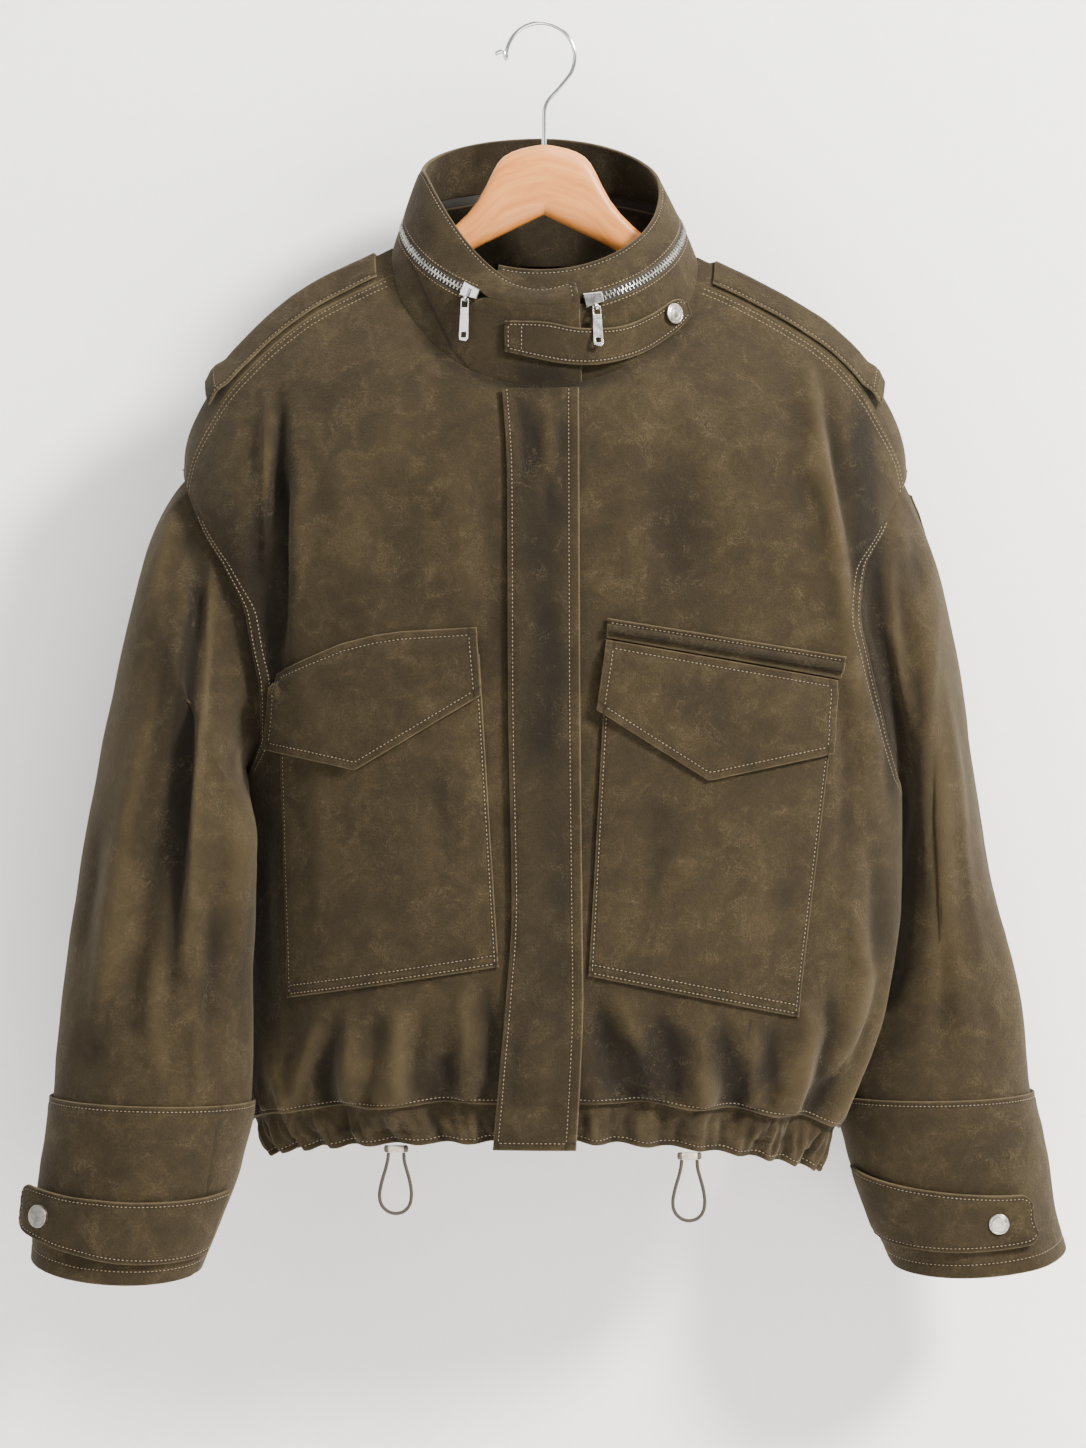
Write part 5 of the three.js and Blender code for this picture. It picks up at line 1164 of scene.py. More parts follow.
puff = {"right": 1.1, "left": 0.5}
sleeveColumns = 156 // fine
for side, sign in (("right", -1), ("left", 1)):
    bare, form, normalAt = sleeveForms(side)
    turn, ring, ringNormal, away = armholeRing(side, sleeveColumns)
    if sign > 0:
        turn, ring, ringNormal, away = turn[::-1], ring[::-1], ringNormal[::-1], away[::-1]
    ridge = 1.7 * (1 - smooth(18, 36, np.abs(turned(turn))))

    def lapped(step, extra):
        return ring + away * step - ringNormal * (suede + lap + extra + ridge)[:, None]

    rows = [lapped(step, mix(1.2, 0.4, (step + 4) / 6.5)) for step in (-4, -2.4, -0.8, 0.8, 2.5)]
    start, finish = lapped(2.5, 0.4), form(turn, 0 * turn)
    reach = np.linalg.norm(finish - start, axis=-1, keepdims=True)
    rise = puff[side] * (1 - smooth(30, 80, np.abs(turned(turn))))
    leave = unit(away + ringNormal * rise[:, None]) * reach
    arrive = unit(form(turn, 0 * turn + 0.1) - finish) * reach
    for s in np.linspace(0, 1, 26 // fine + 1)[1:]:
        rows.append(start * (2 * s**3 - 3 * s**2 + 1) + leave * (s**3 - 2 * s**2 + s)
                    + finish * (3 * s**2 - 2 * s**3) + arrive * (s**3 - s**2))
    head = len(rows)
    for row in np.linspace(0, 5.1, 88 // fine + 1)[1:]:
        rows.append(form(turn, 0 * turn + row))
    points = np.array(rows)
    angle = np.broadcast_to(turn, points.shape[:2])
    index = np.arange(len(rows))[:, None]
    height = sleeveHeight(side, points, angle) * smooth(4, 14,
                                                        index) * (1 - 0.8 * smooth(len(rows) - 9,
                                                                                   len(rows) - 1, index))
    points = points + gridNormals(points, True) * height[..., None]
    wide = foldHeight(sleeveFolds[side], angle,
                      np.clip((index - head) / (88 // fine) * 5.1, 0, 5.1) + 0 * angle)
    piece = clothPiece("sleeve_" + side + "_cloth", points, suede, closed=True, free="",
                       folds=height * 1.2 + wide * 0.5)
    dress(piece, "suede", "suede", "sleeve_" + side)

    row = levelsOf(5.0, [(5.02, 2), (5.08, 4), (5.3, 6), (7.75, 34 // fine), (7.93, 6), (7.98, 3),
                         (8.0, 2)])[:, None]
    angle, row = np.broadcast_arrays(np.linspace(0, 360, sleeveColumns, endpoint=False)[None, :], row)
    if sign > 0:
        angle = angle[:, ::-1]
    points = form(angle, row) + normalAt(angle, row) * ((suede + lap) * (1 - smooth(5.1, 5.9, row)))[...,
                                                                                                     None]
    calm = mix(0.25, 1, 1 - smooth(5.9, 6.4, row)) * smooth(5.0, 5.3, row)
    height = (0.8 * uneven(points, 34, 14) + 0.4 * uneven(points, 15, 15)) * calm
    points = points + gridNormals(points, True) * height[..., None]
    seam = lineDistance(sleeveCreases[side][2], points[..., 0], points[..., 2])
    seam = np.where(np.sin(np.radians(angle)) > 0, seam, 60)
    piece = clothPiece("sleeve_band_" + side + "_cloth", points, suede, closed=True, free="top bottom",
                       seams=[("top", 3.6), ("bottom", 10)], folds=height * 2, groove=seam)
    dress(piece, "suede", "suede", "sleeve_band_" + side)
print("sleeves made")

# Cuff straps run from their sewn end at the inner side to the free end, which carries the snap.
cuffStrap = {
    "right": {"from": 158, "to": 14, "top": (6.34, 6.42, 6.34), "bottom": (7.5, 7.55, 7.25), "end": 8,
              "snap": 0.86},
    "left": {"from": 166, "to": 51, "top": (6.2, 6.42, 6.5), "bottom": (7.4, 7.5, 7.45), "end": 4,
             "snap": 0.82},
    "sewnLift": 0.7, "lift": 1.7, "corner": 8.5,
}
snapPlaces = {}
for side, sign in (("right", -1), ("left", 1)):
    bare, form, normalAt = sleeveForms(side)
    strap = cuffStrap[side]
    curve = lambda abc, s: (abc[0] * (1 - s) ** 2 + 2 * (2 * abc[1] - (abc[0] + abc[2]) / 2) * s * (1 - s)
                            + abc[2] * s * s)

    def strapAt(share, down, extra, own=0.0):
        share, down = np.broadcast_arrays(np.asarray(share, float), np.asarray(down, float))
        fromEnd = np.maximum(cuffStrap["corner"] - (1 - share) * 150, 0)
        inset = cuffStrap["corner"] - np.sqrt(np.maximum(cuffStrap["corner"] ** 2 - fromEnd**2, 0))
        row = mix(curve(strap["top"], share), curve(strap["bottom"], share),
                  down) + inset / 37 * (1 - 2 * down)
        angle = mix(strap["from"], strap["to"], share)
        lift = mix(cuffStrap["sewnLift"], cuffStrap["lift"],
                   smooth(0, 0.15, share)) + strap["end"] * smooth(0.78, 1.06, share)
        return form(angle, row) + normalAt(angle, row) * (lift + extra + own)[..., None]

    share = spacing(150, 2.4 * fine, nearEdge)[None, :]
    down = spacing(40, 2.4 * fine, nearEdge)[:, None]
    base = strapAt(share, down, double)
    own = (0.5 * uneven(base, 22, 16) + 0.25 * uneven(base, 10, 17)) * smooth(0, 0.1,
                                                                              np.minimum(down, 1 - down))
    points = strapAt(share, down, double, own)
    seams = [("top", 3.2), ("bottom", 3.2), ("right" if sign > 0 else "left", 3.4)]
    if sign < 0:
        points, own = points[:, ::-1], own[:, ::-1]
    piece = clothPiece("cuff_strap_" + side + "_cloth", points, double, seams=seams, folds=own * 2)
    dress(piece, "suede", "suede", "cuff_strap_" + side)
    along = strapAt(strap["snap"] + 0.05, 0.5, double) - strapAt(strap["snap"] - 0.05, 0.5, double)
    across = strapAt(strap["snap"], 0.9, double) - strapAt(strap["snap"], 0.1, double)
    snapPlaces["cuff_snap_" + side] = (strapAt(strap["snap"], 0.5, double),
                                       unit(np.cross(along, across)) * -sign)
print("cuffs made")

# The collar, read round from the left end, under the right one: 0 is the centre front, 90 the wearer's left.
collar = tableOf("rightHalf rightZ leftHalf leftZ frontDepth rightFrontZ leftFrontZ"
                 " backDepth backZ rightDip leftDip", [
    (104.4, -160.5, 110.7, -167, 74.2, -263, -263, 62.4, -163, 1.1, 1.1),
    (97.6, -140, 100.4, -142, 76, -203, -203, 66, -112, 1.2, 1.1),
    (91, -120, 93, -127, 72, -195, -190, 64.5, -91, 1.6, 1.0),
    (83, -101, 84.5, -112, 66, -189.5, -177, 62, -71, 2.0, 0.95),
])
collarSpan = {"from": -20, "to": 376, "overlap": 4.4}
zipLine = {"row": 1, "from": 21, "to": 331, "tapeHalf": 3.1, "thickness": 1.6, "sunk": 0.15}


def collarRing(angle, row, under=0.0):
    row = np.clip(row, -0.2, 3)
    read = lambda name: readColumn(collar[name], row)
    angle = np.asarray(angle, float)
    left = angle < 180
    c = np.cos(np.radians(angle))
    sideZ = np.where(left, read("leftZ"), read("rightZ"))
    dip = np.where(left, read("leftDip"), read("rightDip"))
    z = np.where(c > 0, mix(sideZ, np.where(left, read("leftFrontZ"), read("rightFrontZ")),
                            np.maximum(c, 0) ** dip),
                 mix(sideZ, read("backZ"), np.abs(c)))
    depth = np.where(c > 0, under - read("frontDepth"), read("backDepth"))
    return xyz(np.where(left, read("leftHalf"), read("rightHalf")) * np.sin(np.radians(angle)),
               depth * np.abs(c), z)


def collarForm(angle, row):
    return collarRing(angle, row, collarSpan["overlap"] * (1 - smooth(17, 38, angle)))


def onCollar(angle, row, lift):
    normal = -normalOf(collarForm, angle, row, 0.5, 0.03)
    return collarForm(angle, row) + normal * np.asarray(lift)[..., None]


def collarStep(angle, row, size):
    return size / (np.linalg.norm(collarForm(angle, row + 0.05) - collarForm(angle, row - 0.05), axis=-1)
                   * 10)


def zipHalf(angle):
    there = smooth(zipLine["from"] - 8, zipLine["from"] - 2,
                   angle) * (1 - smooth(zipLine["to"] + 2, zipLine["to"] + 8, angle))
    return mix(0.04, zipLine["tapeHalf"] + 0.5, there)


collarColumns = spacing(620, 2.8 * fine, nearEdge)
collarAngle = mix(collarSpan["from"], collarSpan["to"], collarColumns)[None, :]
below = 1 - collarStep(collarAngle, 0.92, zipHalf(collarAngle))
above = 1 + collarStep(collarAngle, 1.08, zipHalf(collarAngle))
upper = 3 - 0.5 * smooth(371, 376, collarAngle) ** 2
collarCreases = [
    ([(-96, -172), (-84, -196), (-66, -222)], 5, -1.0), ([(-70, -180), (-58, -204), (-40, -226)], 6, 0.9),
    ([(-82, -118), (-74, -140), (-58, -160)], 7, 1.1), ([(-50, -150), (-30, -168), (-8, -178)], 7, -0.9),
    ([(34, -184), (56, -172), (76, -150)], 6, 1.0), ([(30, -200), (60, -190), (84, -164)], 5, -0.9),
]


def collarPiece(name, nodeName, low, high, height, seams, seed, groove=None, keepSide="top"):
    share = spacing(height, 2.6 * fine, nearEdge)[:, None]
    row = mix(high, low, share)
    angle, row = np.broadcast_arrays(collarAngle, row)
    base = collarForm(angle, row)
    ahead = smooth(0.1, 0.4, np.cos(np.radians(angle)))
    own = creaseHeight(collarCreases, base[..., 0], base[..., 2]) * ahead
    own = own + 0.7 * uneven(base, 30, seed) + 0.35 * uneven(base, 13, seed + 1)
    own = own * smooth(0, 0.12, np.minimum(share, 1 - share)) * smooth(0, 0.03,
                                                                       np.minimum(collarColumns,
                                                                                  1 - collarColumns))
    points = onCollar(angle, row, own)
    seam = None if groove is None else lineDistance(groove, base[..., 0], base[..., 2]) + 60 * (1 - ahead)
    # between the sliders the stand and the fall are one, so the edge there isn't cut
    joined = 1 - smooth(13, 19, angle) * (1 - smooth(333, 339, angle))
    near = share * height if keepSide == "top" else (1 - share) * height
    piece = clothPiece(name, points, double, seams=seams, folds=own * 2, groove=seam,
                       keep=20 * joined * (1 - smooth(1, 12, near)))
    dress(piece, "suede", "suede", nodeName)


bandLine = [(-93, -160), (-90.9, -167.2), (-77.7, -197.8), (-61, -231.3), (-47, -249.5), (-38, -262)]
collarPiece("collar_stand_cloth", "collar_stand", 0, below, 58, [], 21, bandLine)
collarPiece("collar_fall_cloth", "collar_fall", above, upper, 36, [("top", 3.4), ("right", 4.5)], 23,
            keepSide="bottom")

angle = mix(zipLine["from"], zipLine["to"], np.linspace(0, 1, 170 // fine))[None, :]
tapeShare = np.linspace(1, -1, 9)[:, None]
row = 1 + tapeShare * collarStep(angle, 1 + 0.08 * np.sign(tapeShare), zipLine["tapeHalf"] + 0.9)
angle, row = np.broadcast_arrays(angle, row)
piece = clothPiece("zip_tape", onCollar(angle, row, -zipLine["sunk"] - 0.35 * (1 - tapeShare**2) + 0 * angle),
                   1.2, free="")
dress(piece, "tape", "zip", "zip_chain")


def collarAt(x, z):
    angle = np.degrees(np.arcsin(np.clip(x / 108, -0.95, 0.95)))
    row = 0 * angle + 0.5
    for step in range(24):
        here = collarRing(angle, row)
        dx, dz = x - here[..., 0], z - here[..., 2]
        byAngle = (collarRing(angle + 0.1, row) - here) * 10
        byRow = (collarRing(angle, row + 0.01) - here) * 100
        area = byAngle[..., 0] * byRow[..., 2] - byRow[..., 0] * byAngle[..., 2]
        angle = angle + np.clip((dx * byRow[..., 2] - byRow[..., 0] * dz) / area, -12, 12)
        row = row + np.clip((byAngle[..., 0] * dz - dx * byAngle[..., 2]) / area, -0.5, 0.5)
    return angle, row


def onRing(angle, row, lift):
    return collarRing(angle, row) - normalOf(collarRing, angle, row, 0.5, 0.03) * np.asarray(lift)[..., None]


# A smooth line through points, read at even shares of its length.
def smoothLine(points, share):
    points = np.array(points, float)
    padded = np.concatenate([points[:1], points, points[-1:]])
    t = np.linspace(0, 1, 40, endpoint=False)[:, None]
    dense = [0.5 * ((2 * b) + (c - a) * t + (2 * a - 5 * b + 4 * c - d) * t**2
                    + (3 * b - a - 3 * c + d) * t**3)
             for a, b, c, d in zip(padded[:-3], padded[1:-2], padded[2:-1], padded[3:])]
    dense = np.concatenate(dense + [points[-1:]])
    length = cumulative(dense, 0)
    return np.stack([np.interp(np.asarray(share) * length[-1], length, dense[:, k])
                     for k in range(dense.shape[1])], -1)


strapLines = {
    "top": [(-24, -214), (3, -215), (27, -219), (54, -217), (75, -207.5), (89, -197), (97, -199)],
    "bottom": [(-24, -235), (13, -243), (40, -243.5), (68, -235.5), (90, -220), (100, -207)],
}


def strapLift(share):
    over = collarSpan["overlap"] * (1 - smooth(0.45, 0.8, share)) * smooth(0.3, 0.5, share) * 0.3
    return lap + 0.4 + over + 3.6 * smooth(0.78, 1, share)


share = spacing(132, 2.0 * fine, nearEdge)
down = spacing(24, 2.0 * fine, nearEdge)[:, None]
highLine, lowLine = (smoothLine(strapLines[key], share)[None] for key in ("top", "bottom"))
flat = mix(highLine, lowLine, down[..., None])
own = 0.5 * uneven(xyz(flat[..., 0], 0, flat[..., 1]), 18, 26) * smooth(0, 0.15, np.minimum(down, 1 - down))
points = onRing(*collarAt(flat[..., 0], flat[..., 1]), strapLift(share)[None, :] + double + own)
piece = clothPiece("collar_strap_cloth", points, double, folds=own * 2,
                   seams=[("top", 2.7), ("bottom", 2.7), ("left", 2.7), ("left", 12), ("right", 3)])
dress(piece, "suede", "suede", "collar_strap")
at = collarAt(np.array(87.5), np.array(-207.5))
snapPlaces["collar_snap"] = (onRing(*at, strapLift(0.92) + double), -normalOf(collarRing, *at, 0.5, 0.03))
print("collar made")
# Small hard pieces are modelled at the origin, in metres, and set in place by a matrix that is applied.
def newShape(maker, **values):
    bpy.ops.object.select_all(action="DESELECT")
    maker(**values)
    return bpy.context.active_object


def editFaces(shape, pick):
    for polygon in shape.data.polygons:
        polygon.select = bool(pick(polygon))
    for edge in shape.data.edges:
        edge.select = False
    bpy.ops.object.mode_set(mode="EDIT")
    bpy.ops.mesh.select_mode(type="FACE")


def applied(shape, kind, **values):
    made = shape.modifiers.new(kind.lower(), kind)
    for key, value in values.items():
        setattr(made, key, value)
    bpy.context.view_layer.objects.active = shape
    bpy.ops.object.modifier_apply(modifier=made.name)


def setInPlace(shape, name, place, along, up, out):
    matrix = Matrix([[*(float(v) for v in row)] for row in np.stack([along, up, out], 1)]).to_4x4()
    matrix.translation = [float(v) * mm for v in place]
    shape.data.transform(matrix @ shape.matrix_world)
    shape.matrix_world = Matrix()
    shape.name = shape.data.name = name


def triangulated(shape):
    shape.data.calc_loop_triangles()
    corners = np.array([v.co[:] for v in shape.data.vertices]) / mm
    return corners, np.array([t.vertices[:] for t in shape.data.loop_triangles])


# Zip teeth: one tooth, set alternately above and below the middle of the tape.
teeth = {"pitch": 1.55, "length": 3.3, "width": 0.95, "height": 1.5, "apart": 1.0}
shape = newShape(bpy.ops.mesh.primitive_cube_add, size=1)
shape.scale = (teeth["width"] * mm, teeth["length"] * mm, teeth["height"] * mm)
bpy.ops.object.transform_apply(location=True, rotation=True, scale=True)
applied(shape, "BEVEL", width=0.2 * mm, segments=1, limit_method="NONE")
corners, triangles = triangulated(shape)
bpy.data.objects.remove(shape)
angle = np.linspace(zipLine["from"] + 0.5, zipLine["to"] - 0.5, 1600)
line = onCollar(angle, 1 + 0 * angle, 0 * angle - 0.1)
length = cumulative(line, 0)
at = np.arange(1, int(length[-1] / teeth["pitch"])) * teeth["pitch"]
place = np.stack([np.interp(at, length, line[:, k]) for k in range(3)], -1)
where = np.interp(at, length, angle)
out = -normalOf(collarForm, where, 1 + 0 * where, 0.5, 0.03)
along = unit(collarForm(where + 0.5, 1 + 0 * where) - collarForm(where - 0.5, 1 + 0 * where))
up = np.cross(out, along)
place = place + up * (np.where(np.arange(len(at)) % 2, 1, -1) * teeth["apart"])[:, None]
vertices = (place[:, None] + corners[None, :, :1] * along[:, None] + corners[None, :, 1:2] * up[:, None]
            + corners[None, :, 2:] * out[:, None])
faces = (triangles[None] + len(corners) * np.arange(len(at))[:, None, None]).reshape(-1, 3)
piece = meshPiece("zip_teeth", vertices.reshape(-1, 3), faces)
piece.data.polygons.foreach_set("use_smooth", np.zeros(len(faces), bool))
dress(piece, "teeth", "zip")


# A snap's cap: a low dome with a rolled rim and a plain ring pressed into its middle.
snap = {"radius": 7.3, "height": 2.2, "seat": 0.42}
for name, (place, out) in snapPlaces.items():
    r = snap["radius"] * mm
    shape = newShape(bpy.ops.mesh.primitive_cylinder_add, vertices=48, radius=r * 0.98, depth=1.5 * mm,
                     location=(0, 0, 0.75 * mm))
    editFaces(shape, lambda polygon: polygon.normal.z > 0.9)
    bpy.ops.mesh.inset(thickness=1.0 * mm, depth=0.35 * mm)
    bpy.ops.mesh.inset(thickness=0.35 * mm, depth=-0.32 * mm)
    bpy.ops.mesh.inset(thickness=0.5 * mm, depth=0.34 * mm)
    bpy.ops.mesh.inset(thickness=1.9 * mm, depth=0.22 * mm)
    bpy.ops.mesh.inset(thickness=0.3 * mm, depth=-0.12 * mm)
    bpy.ops.mesh.inset(thickness=0.35 * mm, depth=0.12 * mm)
    bpy.ops.mesh.inset(thickness=1.6 * mm, depth=0.06 * mm)
    bpy.ops.object.mode_set(mode="OBJECT")
    applied(shape, "BEVEL", width=0.22 * mm, segments=3, limit_method="ANGLE", angle_limit=math.radians(35))
    bpy.ops.object.shade_smooth_by_angle(angle=math.radians(50))
    out = unit(np.asarray(out, float))
    along = unit(np.cross(np.array([0, 0, 1.0]), out))
    setInPlace(shape, name + "_cap", np.asarray(place) + out * snap["seat"], along, np.cross(out, along), out)
    dress(shape, "snapMetal", "metal", name)

# The sliders and pull tabs keep their solids, with their edges rounded.
for name in ("slider_right", "slider_left", "pull_tab_right", "pull_tab_left"):
    cadNode = bpy.data.objects[name]
    cadNode.data.materials.clear()
    cadNode.data.materials.append(materials["metal"])
    weld = cadNode.modifiers.new("weld", "WELD")
    weld.merge_threshold = 0.00002
    bevel = cadNode.modifiers.new("bevel", "BEVEL")
    bevel.width, bevel.segments = 0.22 * mm, 2
    bevel.limit_method, bevel.angle_limit = "ANGLE", math.radians(40)
    bevel.harden_normals = True

# The hanger's wood: an oval section extruded from one arm's tip to the other, with a bore for the hook.
hanger = [
    # x, top, bottom, half thickness
    (-205, -233, -248, 5), (-190, -217.6, -239, 8), (-168, -199.6, -223, 9), (-150, -188.8, -212.5, 9),
    (-105, -171.6, -194, 8.5), (-80, -156, -179, 8), (-58, -140, -163.5, 7.5), (-43, -124, -155, 7),
    (-33, -101, -150.3, 7), (-27, -91.5, -147.4, 7), (-14, -86, -141, 7), (1.5, -83.7, -133.5, 7),
    (2.5, -83.6, -133, 7),
    (3.5, -83.7, -133.5, 7), (19, -86, -141, 7), (32, -91.5, -147.4, 7), (38, -101, -150.3, 7),
    (48, -124, -155, 7), (63, -140, -163.5, 7.5), (85, -158, -181, 8),
    (110, -177.6, -200, 8.5), (155, -193.6, -217, 9), (175, -204.6, -228, 9), (196, -219.6, -241, 8),
    (210, -233, -248, 5),
]
hook = {"wire": 1.6, "bend": 24, "stemX": 2.5, "seat": 14, "clear": 0.3}
x, top, bottom, half = hanger[0]
shape = newShape(bpy.ops.mesh.primitive_plane_add, size=2, rotation=(0, -math.pi / 2, 0),
                 location=(x * mm, 0, (top + bottom) / 2 * mm))
shape.scale = ((top - bottom) / 2 * mm, half * mm, 1)
bpy.ops.object.transform_apply(location=True, rotation=True, scale=True)
bpy.ops.object.mode_set(mode="EDIT")
bpy.ops.mesh.select_all(action="SELECT")
bpy.ops.mesh.bevel(offset=4.4 * mm, segments=4, affect="VERTICES")
for before, section in zip(hanger[:-1], hanger[1:]):
    x, top, bottom, half = section
    centre = (top + bottom) / 2
    bpy.ops.mesh.extrude_region_move(TRANSFORM_OT_translate={
        "value": ((x - before[0]) * mm, 0, (centre - (before[1] + before[2]) / 2) * mm)})
    bpy.ops.transform.resize(value=(1, half / before[3], (top - bottom) / (before[1] - before[2])),
                             center_override=(x * mm, 0, centre * mm))
bpy.ops.mesh.select_all(action="SELECT")
bpy.ops.mesh.normals_make_consistent(inside=False)
bpy.ops.object.mode_set(mode="OBJECT")
wood = shape
applied(wood, "SUBSURF", levels=1, render_levels=1)
drill = newShape(bpy.ops.mesh.primitive_cylinder_add, vertices=24, radius=(hook["wire"] + hook["clear"]) * mm,
                 depth=40 * mm,
                 location=(hook["stemX"] * mm, 0, (-83.6 - hook["seat"] - hook["clear"] + 20) * mm))
applied(wood, "BOOLEAN", object=drill, operation="DIFFERENCE", solver="EXACT")
bpy.data.objects.remove(drill)
bpy.ops.object.select_all(action="DESELECT")
wood.select_set(True)
bpy.context.view_layer.objects.active = wood
bpy.ops.object.shade_smooth_by_angle(angle=math.radians(40))
wood.name = wood.data.name = "hanger_arms"
sections = np.array(hanger, float)
corners = np.array([v.co[:] for v in wood.data.vertices]) / mm
middle = np.interp(corners[:, 0], sections[:, 0], (sections[:, 1] + sections[:, 2]) / 2)
lineLength = np.concatenate([[0], np.cumsum(np.hypot(np.diff(sections[:, 0]),
                                                     np.diff((sections[:, 1] + sections[:, 2]) / 2)))])
alongArm = np.interp(corners[:, 0], sections[:, 0], lineLength)
setVectors(wood, "grain", np.stack([alongArm * 0.12, corners[:, 1], corners[:, 2] - middle * 0.8], 1) * mm)


def makeWood():
    material, tree, shader = newMaterial("beech")
    place = node(tree, "ShaderNodeAttribute", attribute_name="grain").outputs["Vector"]
    noises = []
    for scale, detail, rough, distortion in ((210, 3, 0.5, 0.6), (1400, 3, 0.65, 0.2), (60, 2, 0.5, 1.0)):
        made = node(tree, "ShaderNodeTexNoise")
        link(tree, place, made.inputs["Vector"])
        for key, value in (("Scale", scale), ("Detail", detail), ("Roughness", rough),
                           ("Distortion", distortion)):
            made.inputs[key].default_value = value
        noises.append(made.outputs["Fac"])
    colour = rampNode(tree, noises[0], [(0.32, (0.46, 0.15, 0.024)), (0.52, (0.53, 0.188, 0.034)),
                                        (0.7, (0.58, 0.222, 0.046))])
    flecks = rangeNode(tree, noises[1], 0.56, 0.68, 0.0, 0.4)
    colour = mixColours(tree, flecks, colour, (0.31, 0.095, 0.015))
    colour = mixColours(tree, rangeNode(tree, noises[2], 0.45, 0.7, 0.0, 0.3), colour, (0.62, 0.255, 0.06))
    link(tree, colour, shader.inputs["Base Color"])
    link(tree, rangeNode(tree, noises[1], 0.35, 0.65, 0.36, 0.5), shader.inputs["Roughness"])
    shader.inputs["Coat Weight"].default_value = 0.12
    shader.inputs["Coat Roughness"].default_value = 0.3
    bump = node(tree, "ShaderNodeBump")
    bump.inputs["Strength"].default_value = 0.12
    bump.inputs["Distance"].default_value = 0.0003
    link(tree, noises[1], bump.inputs["Height"])
    link(tree, bump.outputs["Normal"], shader.inputs["Normal"])
    return material


materials["wood"] = makeWood()
dress(wood, "wood", "wood", "hanger_wood")

# The hook's wire, from its turned-out tip over the crest and down the stem into the wood.
centreZ = hook["wire"] - hook["bend"]
arc = [(hook["bend"] * math.cos(a), centreZ + hook["bend"] * math.sin(a))
       for a in np.radians(np.linspace(197, -42, 19))[1:]]
route = [(-32, -20.5), (-28.5, -18.6), (-25.8, -18.6), *arc, (11.5, -46), (5.6, -52.5), (3.1, -58),
         (2.5, -64), (2.5, -80),
         (2.5, -83.6 - hook["seat"])]
dense = smoothLine(route, np.concatenate([[0, 0.0015, 0.004, 0.0075], np.linspace(0.011, 1, 150)]))
data = bpy.data.curves.new("hanger_wire", "CURVE")
data.dimensions, data.use_fill_caps = "3D", True
data.bevel_depth, data.bevel_resolution = hook["wire"] * mm, 6
spline = data.splines.new("POLY")
spline.points.add(len(dense) - 1)
for index, (made, (x, z)) in enumerate(zip(spline.points, dense)):
    made.co = (x * mm, 0, z * mm, 1)
    made.radius = (0.3, 0.72, 0.9, 0.98)[index] if index < 4 else 1
curveObject = bpy.data.objects.new("hanger_wire", data)
bpy.context.scene.collection.objects.link(curveObject)
bpy.ops.object.select_all(action="DESELECT")
curveObject.select_set(True)
bpy.context.view_layer.objects.active = curveObject
bpy.ops.object.convert(target="MESH")
wire = bpy.context.active_object
bpy.ops.object.shade_smooth()
materials["wire"] = makePlain("wire", (0.72, 0.72, 0.72), 0.13, 1.0, noiseScale=500, vary=0.06, bump=0.05)
dress(wire, "wire", "metal", "hanger_hook")

# Cord stops: a small bar with a groove near each end and dark ends.
for side in ("right", "left"):
    low, high = (np.array(corner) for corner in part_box("cord_stop_" + side))
    centre, size = (low + high) / 2, high - low
    radius = size[2] / 2
    shape = newShape(bpy.ops.mesh.primitive_cylinder_add, vertices=32, radius=radius, depth=size[0] - 2 * mm,
                     end_fill_type="NGON", rotation=(0, math.pi / 2, 0), location=centre)
    bpy.ops.object.transform_apply(location=True, rotation=True, scale=True)
    for sign in (-1, 1):
        editFaces(shape, lambda polygon: polygon.normal.x * sign > 0.9)
        bpy.ops.mesh.inset(thickness=0.5 * mm, depth=0.5 * mm)
        bpy.ops.mesh.inset(thickness=0.8 * mm, depth=0.35 * mm)
        bpy.ops.mesh.inset(thickness=0.7 * mm, depth=0.1 * mm)
        bpy.ops.object.mode_set(mode="OBJECT")
    bpy.ops.object.mode_set(mode="EDIT")
    for at in (-0.30, 0.30):
        for shift in (0, 0.3 * mm, 0.6 * mm):
            bpy.ops.mesh.select_all(action="SELECT")
            bpy.ops.mesh.bisect(plane_co=(centre[0] + at * size[0] + shift, 0, 0), plane_no=(1, 0, 0))
    bpy.ops.object.mode_set(mode="OBJECT")
    for vertex in shape.data.vertices:
        for at in (-0.30, 0.30):
            if abs(vertex.co.x - centre[0] - at * size[0] - 0.3 * mm) < 0.05 * mm:
                vertex.co.y = centre[1] + (vertex.co.y - centre[1]) * 0.88
                vertex.co.z = centre[2] + (vertex.co.z - centre[2]) * 0.88
    bpy.ops.object.shade_smooth_by_angle(angle=math.radians(50))
    shape.name = shape.data.name = "stop_bar_" + side
    dress(shape, "stop", "stop", "cord_stop_" + side)
    shape.data.materials.append(materials["stopEnd"])
    for polygon in shape.data.polygons:
        polygon.material_index = int(abs(polygon.center.x - centre[0]) > 0.31 * size[0])
print("hard pieces made")


# Every seam that shows, as stitches of thread on its piece.
def stitches(name, *lines, **values):
    piece = stitchMesh(name, [line for line in lines if len(line[0]) > 1], **values)
    dress(piece, "thread", "suede")


def levelPart(low, high):
    last = len(bodyLevels) - 1
    return (np.searchsorted(bodyLevels, low) / last, np.searchsorted(bodyLevels, high) / last)


